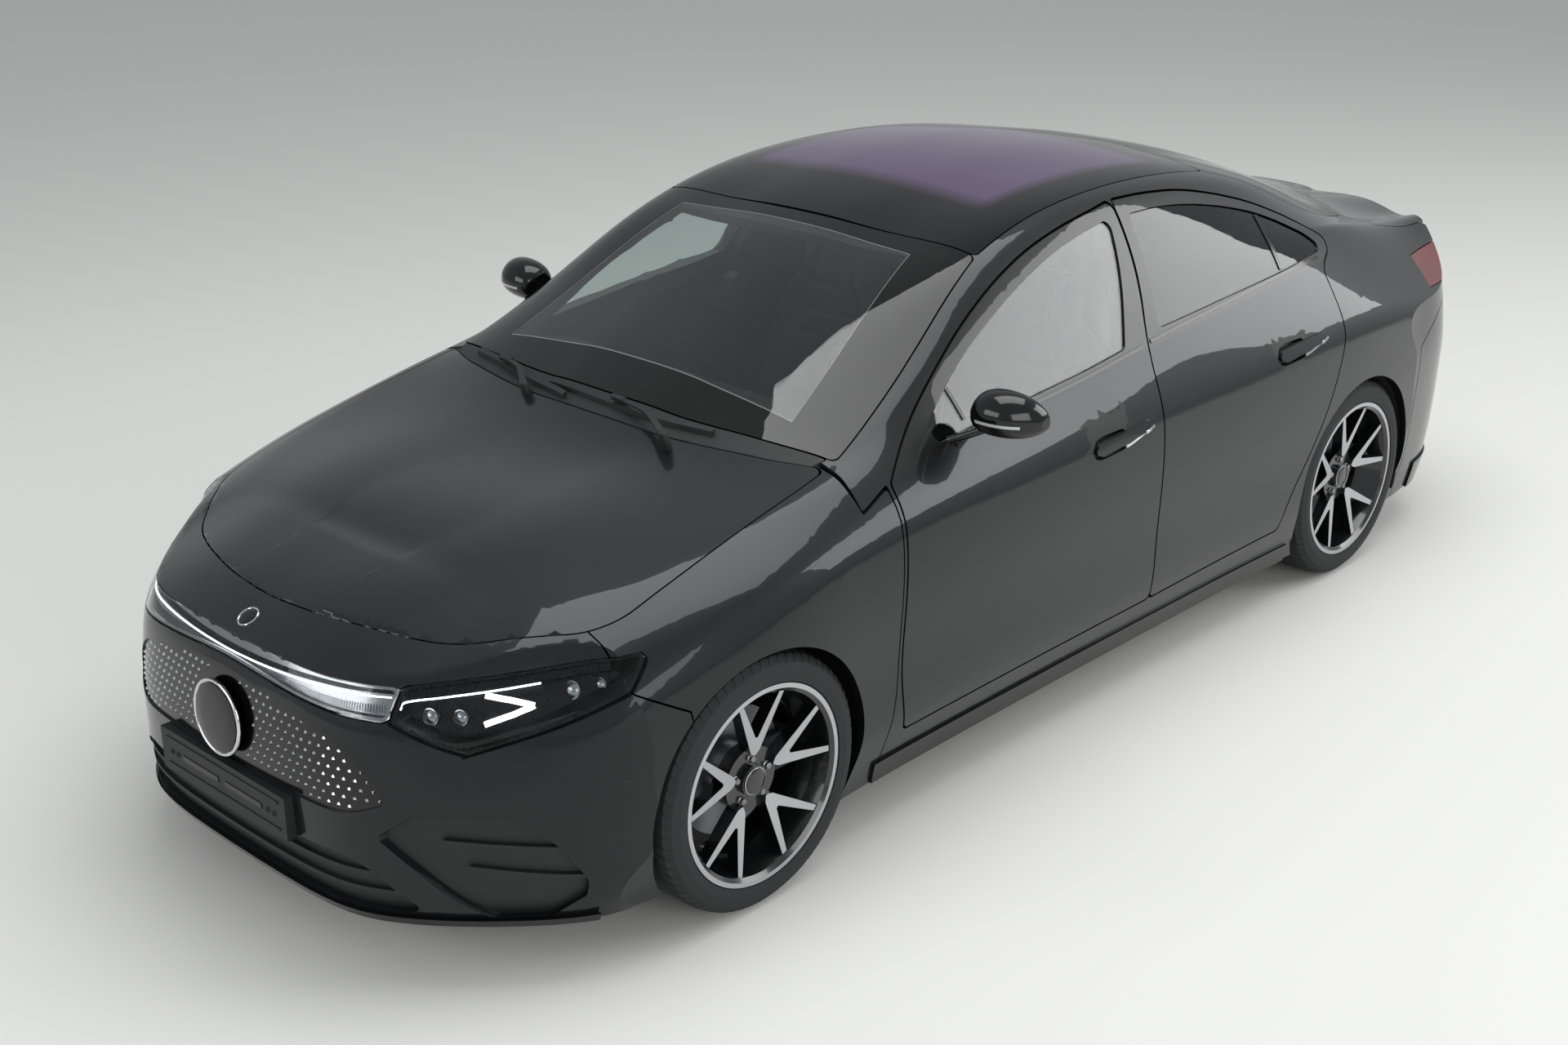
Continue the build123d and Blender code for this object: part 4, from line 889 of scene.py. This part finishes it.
def ring_profile(radius, width, height):
    """A raised ring with a rounded top, as a closed loop of (radius, along)."""
    w = width / 2
    return [(radius - w, -0.001), (radius + w, -0.001), (radius + w, height * 0.5),
            (radius + w * 0.5, height), (radius - w * 0.5, height), (radius - w, height * 0.5),
            (radius - w, -0.001)]


ring_place, ring_normal = land(grille_skin, (0.02, AHEAD, RING_HEIGHT), FRONT_LOOK)
ring_place = Vector((0, ring_place.y, RING_HEIGHT))
mesh_piece("grille_disc", *turned_form(disc_profile(0.0845, 0.002, 0.004), 64, ring_place, ring_normal),
           gloss_black)
badge_place = Vector((0, behind(BADGE_Y), even_height(0, BADGE_Y)))
badge_rise = even_height(0, BADGE_Y + BADGE_HALF) - even_height(0, BADGE_Y - BADGE_HALF)
badge_normal = Vector((0, -badge_rise / (2 * BADGE_HALF), 1)).normalized()
mesh_piece("nose_disc", *turned_form(disc_profile(0.024, 0.0015, 0.001), 40, badge_place, badge_normal),
           gloss_black)
mesh_piece("nose_ring", *turned_form(ring_profile(0.0262, 0.0044, 0.0024), 48, badge_place, badge_normal),
           chrome)
print("discs at", [round(c, 3) for c in ring_place], [round(c, 3) for c in badge_place])

# %% [markdown]
# Lamps and their trim have rows of fine ribs. One Geometry Nodes tree sets a small bar at even
# steps along a line and turns each with the line and with the surface under it. Lines are given
# in millimetres, landed on a surface and then lifted off it or sunk below it.

# %% Ribs and strips along a line
rib_row = tree_of("ribs along a line", {"Spacing": 0.004, "Rib width": 0.002, "Rib length": 0.01,
                                        "Rib height": 0.002, "Finish": None})
given = add_node(rib_row, "NodeGroupInput")
line = add_node(rib_row, "GeometryNodeMeshToCurve", None, {"Mesh": (given, "Geometry")})
marks = add_node(rib_row, "GeometryNodeResampleCurve", {"mode": "LENGTH"},
                 {"Curve": (line, "Curve"), "Length": (given, "Spacing")})
size = add_node(rib_row, "ShaderNodeCombineXYZ", None,
                {"X": (given, "Rib width"), "Y": (given, "Rib length"), "Z": (given, "Rib height")})
rib = add_node(rib_row, "GeometryNodeMeshCube", None, {"Size": (size, 0)})
facing = add_node(rib_row, "GeometryNodeInputNamedAttribute", {"data_type": "FLOAT_VECTOR", "Name": "facing"})
lean = add_node(rib_row, "FunctionNodeAlignEulerToVector", {"axis": "Z"}, {"Vector": (facing, "Attribute")})
tangent = add_node(rib_row, "GeometryNodeInputTangent")
follow = add_node(rib_row, "FunctionNodeAlignEulerToVector", {"axis": "X", "pivot_axis": "Z"},
                  {"Rotation": (lean, "Rotation"), "Vector": (tangent, "Tangent")})
ribs = add_node(rib_row, "GeometryNodeInstanceOnPoints", None,
                {"Points": (marks, "Curve"), "Instance": (rib, "Mesh"), "Rotation": (follow, "Rotation")})
close_tree(rib_row, given, ribs, "Instances")


STAND_OFF = 0.25


def car_point(x, y, z, sign=1):
    """A point in millimetres, its y behind the front axle."""
    return Vector((sign * x / 1000, FRONT_AXLE + y / 1000, z / 1000))


def laid_run(tree, corners, direction, sign=1, lift=0.0, steps=6):
    """A smooth run through corners in millimetres, landed on a surface and lifted off it."""
    direction = Vector((sign * direction[0], direction[1], direction[2])).normalized()
    run, normals = [], []
    for point in smooth_run([car_point(*corner, sign) for corner in corners], steps):
        start = point - direction * STAND_OFF
        if tree.ray_cast(start, direction)[0]:
            hit, normal = land(tree, start, direction)
            run.append(hit + normal * lift)
            normals.append(normal)
    return run, normals


def strip(name, tree, corners, direction, section, material, body="body", **laid):
    """A flat strip of (width, height) laid along a surface."""
    run, normals = laid_run(tree, corners, direction, **laid)
    return mesh_piece(name, *sweep(run, flat_section(*section), normals), material, body)


def rib_piece(name, tree, corners, direction, spacing, size, material, body="body", **laid):
    """A row of ribs of (width, length, height) laid along a surface."""
    run, normals = laid_run(tree, corners, direction, **laid)
    edges = [(i, i + 1) for i in range(len(run) - 1)]
    width, length, height = size
    return grow(name, rib_row, point_mesh(name + "_line", list(zip(run, normals)), edges),
                {"Spacing": spacing, "Rib width": width, "Rib length": length, "Rib height": height},
                material, body)


# %% [markdown]
# A headlamp is a clear lens over a dark bowl. Under the lens there is a ribbed strip along the
# top, a thin light guide below it, four small projectors and a bright chevron. The light bar
# between the headlamps has one guide, a row of ribs above it and a row of prisms below it.

# %% Headlamp and light bar
lamp_skin = surface("front_lamps")
LAMP_LOOK = (-0.55, 0.83, 0.0)
LAMP_TOP_LINE = [(508, -722, 706), (570, -640, 716), (640, -552, 724), (720, -462, 738), (795, -386, 752)]
LAMP_GUIDE = [(506, -742, 676), (512, -728, 692), (570, -650, 702), (640, -566, 712), (700, -500, 722)]
CHEVRON_TOP = [(628, -600, 704), (665, -560, 694), (704, -520, 682)]
CHEVRON_LOW = [(704, -520, 682), (676, -560, 664), (640, -610, 644)]
LAMP_EDGE = [(842, -362, 712), (790, -455, 668), (700, -575, 626), (620, -672, 598), (560, -730, 618)]
LAMP_STRIPS = (
    ("shelf", LAMP_TOP_LINE, (0.017, 0.004), lamp_dark, -0.018, 6),
    ("guide", LAMP_GUIDE, (0.0042, 0.003), lit_guide, -0.012, 6),
    ("chevron_top", CHEVRON_TOP, (0.013, 0.006), lit_guide, -0.020, 4),
    ("chevron_low", CHEVRON_LOW, (0.013, 0.006), lit_guide, -0.020, 4),
    ("bezel", LAMP_EDGE, (0.012, 0.004), gloss_black, -0.014, 6),
)
# Each projector's place and its radius
PROJECTORS = (((556, -700, 662), 0.021), ((600, -645, 660), 0.019),
              ((760, -470, 712), 0.022), ((800, -425, 722), 0.016))
PROJECTOR_SINK = 0.034


def projector(radius):
    """A lens in a round holder, as (radius, along) pairs."""
    return [(0, -0.004), (radius, -0.004), (radius, 0.006), (radius * 0.86, 0.007), (radius * 0.8, 0.002),
            (radius * 0.7, 0.004), (radius * 0.4, 0.008), (0, 0.0095)]


for side, sign in SIDES:
    rib_piece(f"headlamp_ribs_{side}", lamp_skin, LAMP_TOP_LINE, LAMP_LOOK, 0.0042, (0.0021, 0.014, 0.004),
              lamp_dark, sign=sign, lift=-0.011, steps=8)
    for name, corners, section, material, lift, steps in LAMP_STRIPS:
        strip(f"headlamp_{name}_{side}", lamp_skin, corners, LAMP_LOOK, section, material,
              sign=sign, lift=lift, steps=steps)
    direction = Vector((sign * LAMP_LOOK[0], LAMP_LOOK[1], 0)).normalized()
    for k, (place, radius) in enumerate(PROJECTORS):
        hit, normal = land(lamp_skin, car_point(*place, sign) - direction * STAND_OFF, direction)
        look = (normal + Vector((0, -1, 0))).normalized()
        eye = turned_form(projector(radius), 28, hit - normal * PROJECTOR_SINK, look)
        mesh_piece(f"headlamp_eye_{k + 1}_{side}", *eye, lamp_silver)


def both_ways(half):
    """A line across the car from its right half, whose last corner is on the middle."""
    return half + [(-x, y, z) for x, y, z in half[-2::-1]]


BAR_LINE = both_ways([(-484, -735, 700), (-337, -810, 703), (-120, -856, 697), (0, -862, 695)])
BAR_TOP = both_ways([(-482, -735, 711), (-337, -810, 713), (-120, -856, 704.5), (0, -862, 702.5)])
BAR_LOW = both_ways([(-480, -765, 676), (-337, -835, 678), (-120, -866, 684), (0, -870, 685)])
strip("light_bar_guide", lamp_skin, BAR_LINE, FRONT_LOOK, (0.0036, 0.003), lit_guide, lift=-0.011, steps=10)
rib_piece("light_bar_ribs", lamp_skin, BAR_TOP, FRONT_LOOK, 0.0042, (0.0021, 0.010, 0.004), lamp_dark,
          lift=-0.010, steps=10)
rib_piece("light_bar_prisms", lamp_skin, BAR_LOW, FRONT_LOOK, 0.0065, (0.0016, 0.018, 0.002), lamp_silver,
          lift=-0.013, steps=10)
print("lamp pieces ready")

# %% [markdown]
# Flush door handles sit in a pocket. The rear half of each has a bright strip that rises towards
# the back. The belt under the windows, the quarter window posts and the pillar covers are gloss
# black mouldings. The handle strips, the belts and the window posts are strips laid on the doors
# from outside.

# %% Door trim
SIDE_LOOK = (-1, 0, 0)
OUTSIDE_MM = 1100
# Side view lines as (distance behind the front axle, height) in millimetres
HANDLE_STRIP = [(1368, 797), (1420, 800), (1480, 809), (1535, 821), (1580, 834)]
REAR_HANDLE_SHIFT = (948, 48)
BELT_FRONT = [(790, 962), (905, 982), (1107, 990), (1359, 1009), (1533, 1026), (1622, 1034)]
BELT_REAR = [(1662, 1040), (1800, 1050), (2080, 1064), (2350, 1076), (2560, 1080), (2660, 1082)]
HANDLES_AND_BELTS = (("front", (0, 0), BELT_FRONT), ("rear", REAR_HANDLE_SHIFT, BELT_REAR))
POST_FRONT = [(862, 1004), (856, 1040), (846, 1082)]
POST_REAR = [(2432, 1088), (2438, 1160), (2447, 1236)]


def side_strip(name, skin, line, width, height, material, sign, body):
    """A strip on the side of the car, from a line in side view."""
    strip(name, skin, [(OUTSIDE_MM, y, z) for y, z in line], SIDE_LOOK, (width, height), material, body,
          sign=sign)


for side, sign in SIDES:
    for end, (shift_y, shift_z), belt in HANDLES_AND_BELTS:
        door = f"{end}_door_{side}"
        door_skin = surface(door)
        handle = [(y + shift_y, z + shift_z) for y, z in HANDLE_STRIP]
        side_strip(f"handle_strip_{end}_{side}", door_skin, handle, 0.0085, 0.003, chrome, sign, door)
        side_strip(f"belt_moulding_{end}_{side}", door_skin, belt, 0.012, 0.0025, gloss_black, sign, door)
    for end, post, width in (("front", POST_FRONT, 0.012), ("rear", POST_REAR, 0.020)):
        door = f"{end}_door_{side}"
        glass_skin = surface(f"{end}_door_glass_{side}", door)
        side_strip(f"window_post_{end}_{side}", glass_skin, post, width, 0.003, gloss_black, sign, door)
print("door trim ready")

# %% [markdown]
# A door mirror has its glass on the rear face and a thin indicator lens round its front. The lens
# follows the shell, so its points are landed on it from the front.

# %% Door mirrors
INDICATOR = [(900, 700, 1046), (940, 700, 1047), (980, 700, 1047), (1005, 700, 1046), (1018, 700, 1045)]
for side, sign in SIDES:
    shell_skin = surface(f"door_mirror_{side}")
    strip(f"mirror_indicator_{side}", shell_skin, INDICATOR, (-0.15, 1, 0), (0.008, 0.0015), pale_lens,
          f"front_door_{side}", sign=sign, lift=0.0005, steps=4)
print("mirror lenses ready")

# %% [markdown]
# The wiper blades lie on the windscreen as the frame has them. Each is carried by an arm that
# rises from a spindle in the cowl, lies along the blade and holds its middle in a hook. An arm is
# a swept box that narrows towards its hook.

# %% Wiper arms
def tapered(width, height, end):
    """A section that narrows from 1 to end along its run."""
    def at(share):
        k = 1 + (end - 1) * share
        return flat_section(width * k, height * k)
    return at


SPINDLE = [(0, -0.05), (0.013, -0.05), (0.013, 0.004), (0.010, 0.010), (0, 0.0115)]
ARM_UP = Vector((0, -0.35, 0.94))
blades = NODES["wipers"].data
for name, low_x, high_x, reach in (("long", -0.25, 0.45, 0.24), ("short", -0.65, -0.25, 0.16)):
    points = [v.co for v in blades.vertices if low_x < v.co.x < high_x]
    middle_x = (min(p.x for p in points) + max(p.x for p in points)) / 2
    near = [p for p in points if abs(p.x - middle_x) < 0.08] or points
    middle = Vector((middle_x, sum(p.y for p in near) / len(near), max(p.z for p in near) + 0.006))
    spindle = Vector((middle_x + reach, middle.y - 0.075, middle.z - 0.020))
    bend = middle.lerp(spindle, 0.5) + Vector((0, 0.012, 0.012))
    run = smooth_run([spindle, spindle.lerp(bend, 0.45) + Vector((0, 0, 0.006)), bend, middle], 5)
    arm = sweep(run, tapered(0.019, 0.009, 0.6), [ARM_UP] * len(run))
    mesh_piece(f"wiper_arm_{name}", *arm, black_plastic)
    mesh_piece(f"wiper_spindle_{name}", *turned_form(SPINDLE, 24, spindle, ARM_UP), black_plastic)
    hook = [middle + Vector((dx, 0, -0.003)) for dx in (-0.024, 0.0, 0.024)]
    mesh_piece(f"wiper_hook_{name}", *sweep(hook, flat_section(0.015, 0.013), [ARM_UP] * 3), black_plastic)
    print("wiper", name, [round(c, 3) for c in spindle], [round(c, 3) for c in middle])

# %% [markdown]
# Parking sensors are small round caps pushed through the bumpers. The number plate carriers are
# moulded with ribs and two pairs of screw bosses, and they carry no plate.

# %% Bumper details
SENSOR = [(0, -0.002), (0.0105, -0.002), (0.0105, 0.0004), (0.0095, 0.0008), (0.0092, 0.0003), (0, 0.0006)]
FRONT_SENSOR = (866, -406, 491)
BEFORE_CAR = behind(-1.3)
CARRIER_MIDDLE = 0.366
AHEAD_UP = Vector((0, -1, 0))
bumper_skin = surface("front_bumper")
for side, sign in SIDES:
    direction = Vector((-sign * 0.6, 0.8, 0)).normalized()
    point, normal = land(bumper_skin, car_point(*FRONT_SENSOR, sign) - direction * 0.3, direction)
    mesh_piece(f"front_sensor_outer_{side}", *turned_form(SENSOR, 24, point, normal), paint)
carrier_skin = surface("front_plate_bracket")
for name, middle_x, z, half, steps, section, material in (
        ("rib_top", 0, 0.401, 0.235, 6, (0.006, 0.003), black_plastic),
        ("rib_low", 0, 0.331, 0.235, 6, (0.006, 0.003), black_plastic),
        ("slot_1", -0.09, CARRIER_MIDDLE, 0.075, 3, (0.014, 0.0022), gloss_black),
        ("slot_2", 0.09, CARRIER_MIDDLE, 0.075, 3, (0.014, 0.0022), gloss_black)):
    run = [land(carrier_skin, (middle_x + half * k / steps, BEFORE_CAR, z), FRONT_LOOK)[0]
           for k in range(-steps, steps + 1)]
    mesh_piece(f"carrier_{name}", *sweep(run, flat_section(*section), [AHEAD_UP] * len(run)), material)
for k, x in enumerate((-0.215, -0.19, 0.19, 0.215)):
    point, _ = land(carrier_skin, (x, BEFORE_CAR, CARRIER_MIDDLE), FRONT_LOOK)
    boss = turned_form(ring_profile(0.0055, 0.003, 0.0025), 20, point, AHEAD_UP)
    mesh_piece(f"carrier_boss_{k + 1}", *boss, black_plastic)
print("bumper details ready")

# %% [markdown]
# The seats are padded, so the plain solids are replaced. Each seat starts as its own solid, is
# remeshed into small faces and relaxed until its corners are round. Then its points are moved:
# the side bolsters rise, the middle sinks, the top narrows into a head restraint and sewn
# channels are pressed in across the middle.

# %% Padded seats
VOXEL = 0.011
SEAT_LINE = 0.62
CHANNEL_STEP = 0.085
BEHIND_FRONT_SEATS = behind(1.95)


def bump(value, low, high):
    """A smooth hump that is 1 in the middle of low and high and 0 outside."""
    if not low < value < high:
        return 0.0
    return math.sin(math.pi * (value - low) / (high - low)) ** 2


def seat_copy(name, keep):
    """The faces of the seats node that keep() accepts, remeshed and relaxed."""
    mesh = NODES["seats"].data.copy()
    edit = bmesh.new()
    edit.from_mesh(mesh)
    bmesh.ops.remove_doubles(edit, verts=edit.verts, dist=1e-5)
    away = [v for v in edit.verts if not keep(v.co)]
    bmesh.ops.delete(edit, geom=away, context="VERTS")
    edit.to_mesh(mesh)
    edit.free()
    carrier = put(name, mesh)
    remesh = carrier.modifiers.new("small faces", "REMESH")
    remesh.mode, remesh.voxel_size = "VOXEL", VOXEL
    relax = carrier.modifiers.new("relax", "SMOOTH")
    relax.factor, relax.iterations = 0.5, 14
    graph = bpy.context.evaluated_depsgraph_get()
    carrier.data = bpy.data.meshes.new_from_object(carrier.evaluated_get(graph))
    carrier.modifiers.clear()
    return carrier


def upholster(seat, places, half, head):
    """Crowns, bolsters and channels, for seats whose middles are at these x places."""
    mesh = seat.data
    normals = [vertex.normal.copy() for vertex in mesh.vertices]
    for vertex, normal in zip(mesh.vertices, normals):
        middle = min(places, key=lambda x: abs(vertex.co.x - x))
        u = (vertex.co.x - middle) / half
        z = vertex.co.z
        on_back = normal.y < -0.35 and z > SEAT_LINE
        on_cushion = normal.z > 0.45 and z < SEAT_LINE
        if on_back or on_cushion:
            lift = 0.016 * bump(abs(u), 0.5, 1.05) - 0.008 * (1 - min(1.0, u * u))
            lift -= 0.006 * bump(abs(u), 0.50, 0.60)
            if abs(u) < 0.52:
                along = z if on_back else vertex.co.y
                lift -= 0.005 * bump((along / CHANNEL_STEP) % 1.0, 0.36, 0.64)
            vertex.co += normal * lift
        if head:
            narrow = 1 - 0.12 * ramp(z, 0.72, 0.92) - 0.34 * ramp(z, 0.92, 1.02)
            vertex.co.x = middle + (vertex.co.x - middle) * narrow
    mesh.materials.clear()
    mesh.materials.append(leather)
    mesh.shade_smooth()
    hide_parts("seats")
    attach(seat, "body")


for name, keep, places, half, head in (
        ("seat_front_left", lambda c: c.x > 0.05 and c.y < BEHIND_FRONT_SEATS, (0.375,), 0.245, True),
        ("seat_front_right", lambda c: c.x < -0.05 and c.y < BEHIND_FRONT_SEATS, (-0.375,), 0.245, True),
        ("seat_rear_bench", lambda c: c.y > BEHIND_FRONT_SEATS, (-0.36, 0.36), 0.24, False)):
    seat = seat_copy(name, keep)
    upholster(seat, places, half, head)
    print(name, "faces:", len(seat.data.polygons))

# %% [markdown]
# The dashboard carries a wide display slab and a driver's display, both coated glass with a thin
# frame, and rows of small holes for the demister along the foot of the windscreen.

# %% Dashboard displays and demister holes
dash_skin = surface("dashboard")
ABOVE_CABIN = 1.4
DOWN = (0, 0, -1)
SLAB_CORNER = 0.014
SLAB_DEPTH = 0.012
SLAB_SINK = 0.02
SLAB_LEAN = -0.2


def slab(name, x0, x1, y, height):
    """An upright rounded glass slab that stands in the dashboard's top."""
    middle, _ = land(dash_skin, ((x0 + x1) / 2, behind(y), ABOVE_CABIN), DOWN)
    right, top = x1 - SLAB_CORNER, height - SLAB_CORNER
    outline = []
    for cx, cz, start in ((right, top, 0), (x0 + SLAB_CORNER, top, 90),
                          (x0 + SLAB_CORNER, SLAB_CORNER, 180), (right, SLAB_CORNER, 270)):
        for k in range(5):
            t = math.radians(start + 22.5 * k)
            outline.append((cx + SLAB_CORNER * math.cos(t), cz + SLAB_CORNER * math.sin(t)))
    vertices, faces = [], []
    for inset, out in ((0.0, 0.0), (0.0, SLAB_DEPTH * 0.8), (0.003, SLAB_DEPTH)):
        for x, z in outline:
            sx = x + (inset if x < (x0 + x1) / 2 else -inset)
            sz = z + (inset if z < height / 2 else -inset)
            y_out = middle.y + out + math.tan(SLAB_LEAN) * sz
            vertices.append(Vector((sx, y_out, middle.z - SLAB_SINK + sz)))
    count = len(outline)
    for a in (0, count):
        for k in range(count):
            n = (k + 1) % count
            faces.append([a + k, a + n, a + count + n, a + count + k])
    faces.append(list(range(count)))
    faces.append(list(range(2 * count, 3 * count)))
    return mesh_piece(name, vertices, faces, screen_black)


slab("driver_display", 0.235, 0.515, 1.00, 0.135)
slab("centre_display", -0.17, 0.17, 0.98, 0.16)
holes = []
for row in range(3):
    for column in range(30):
        x = -0.20 + 0.0135 * column + (0.0068 if row % 2 else 0)
        holes.append(land(dash_skin, (x, behind(0.70) + 0.012 * row, ABOVE_CABIN), DOWN))
grow("demister_holes", facing_copies, point_mesh("demister", holes),
     {"Stud width": 0.0042, "Stud height": 0.0012, "Corners": 10}, gloss_black)
print("dashboard pieces ready")

# %% [markdown]
# At the back, two bright guides run along the lamp bar, red reflectors sit low on the bumper and
# four parking sensors sit above them.

# %% Rear lamps and reflectors
BEHIND_MM = 5250
BACK_LOOK = (0, -1, 0)
REFLECTOR = [(560, BEHIND_MM, 330), (620, BEHIND_MM, 331), (680, BEHIND_MM, 333)]
REAR_SENSOR_HEIGHT = 470
lamp_bar_skin = surface("boot_lamp_bar")
low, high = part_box("boot_lamp_bar")
reach_mm = high[0] * 1000
bar_middle_mm = (low[2] + high[2]) * 500
print("lamp bar", [round(c, 3) for c in low], [round(c, 3) for c in high])
for row, offset in (("top", 12), ("low", -12)):
    corners = [(reach_mm * share, BEHIND_MM, bar_middle_mm + offset) for share in (-0.9, -0.45, 0, 0.45, 0.9)]
    strip(f"lamp_bar_guide_{row}", lamp_bar_skin, corners, BACK_LOOK, (0.004, 0.0012), red_guide, "boot_lid",
          lift=0.0002, steps=8)
bumper_back = surface("rear_bumper")
for side, sign in SIDES:
    strip(f"rear_reflector_{side}", bumper_back, REFLECTOR, BACK_LOOK, (0.020, 0.003), red_lens,
          sign=sign, lift=0.0003)
    for x in (300, 590):
        point, normal = land(bumper_back, car_point(x, BEHIND_MM, REAR_SENSOR_HEIGHT, sign), BACK_LOOK)
        mesh_piece(f"rear_sensor_{x}_{side}", *turned_form(SENSOR, 24, point, normal), paint)
print("rear pieces ready")

# %% [markdown]
# A plain pale floor and four soft lamps give the even light of a studio. The camera stands where
# the photograph was taken from: in front of the car, to its left and above its roof.

# %% Camera, floor and lamps
FLOOR_HALF = 40
STUDIO_LAMPS = (
    ("overhead", (0.5, 0.5, 6.5), (0, 0, 0), (4, 6), 260),
    ("left_side", (7, -2.5, 2.6), (0, -0.5, 0.6), (6, 3), 170),
    ("left_rear", (5.6, 6.6, 4.4), (0.6, 0, 0.9), (6, 4), 330),
    ("front", (-1.5, -8, 3.0), (0, -1.5, 0.6), (6, 3), 170),
)
camera_data = bpy.data.cameras.new("camera")
camera_data.lens = 46.94
camera_data.sensor_width = 36
camera = put("camera", camera_data)
camera.location = (3.8536, -4.528, 2.754)
camera.rotation_euler = (math.radians(67.71), 0, math.radians(43.26))
bpy.context.scene.camera = camera

corners = [(-FLOOR_HALF, -FLOOR_HALF, 0), (FLOOR_HALF, -FLOOR_HALF, 0), (FLOOR_HALF, FLOOR_HALF, 0),
           (-FLOOR_HALF, FLOOR_HALF, 0)]
floor_mesh = bpy.data.meshes.new("studio_floor")
floor_mesh.from_pydata(corners, [], [(0, 1, 2, 3)])
floor_mesh.materials.append(finish("pale studio floor", "#d9d9d6", 0.9))
put("studio_floor", floor_mesh)

for name, place, aim, size, power in STUDIO_LAMPS:
    data = bpy.data.lights.new(name, "AREA")
    data.shape = "RECTANGLE"
    data.size, data.size_y = size
    data.energy = power
    lamp = put(name, data)
    lamp.location = place
    lamp.rotation_euler = (Vector(aim) - Vector(place)).to_track_quat("-Z", "Y").to_euler()
world = bpy.data.worlds.new("studio")
bpy.context.scene.world = world
world.use_nodes = True
background = world.node_tree.nodes["Background"]
background.inputs["Color"].default_value = colour("#dfe2e4")
background.inputs["Strength"].default_value = 0.62
bpy.context.scene.view_settings.view_transform = "Standard"
print("stage ready")
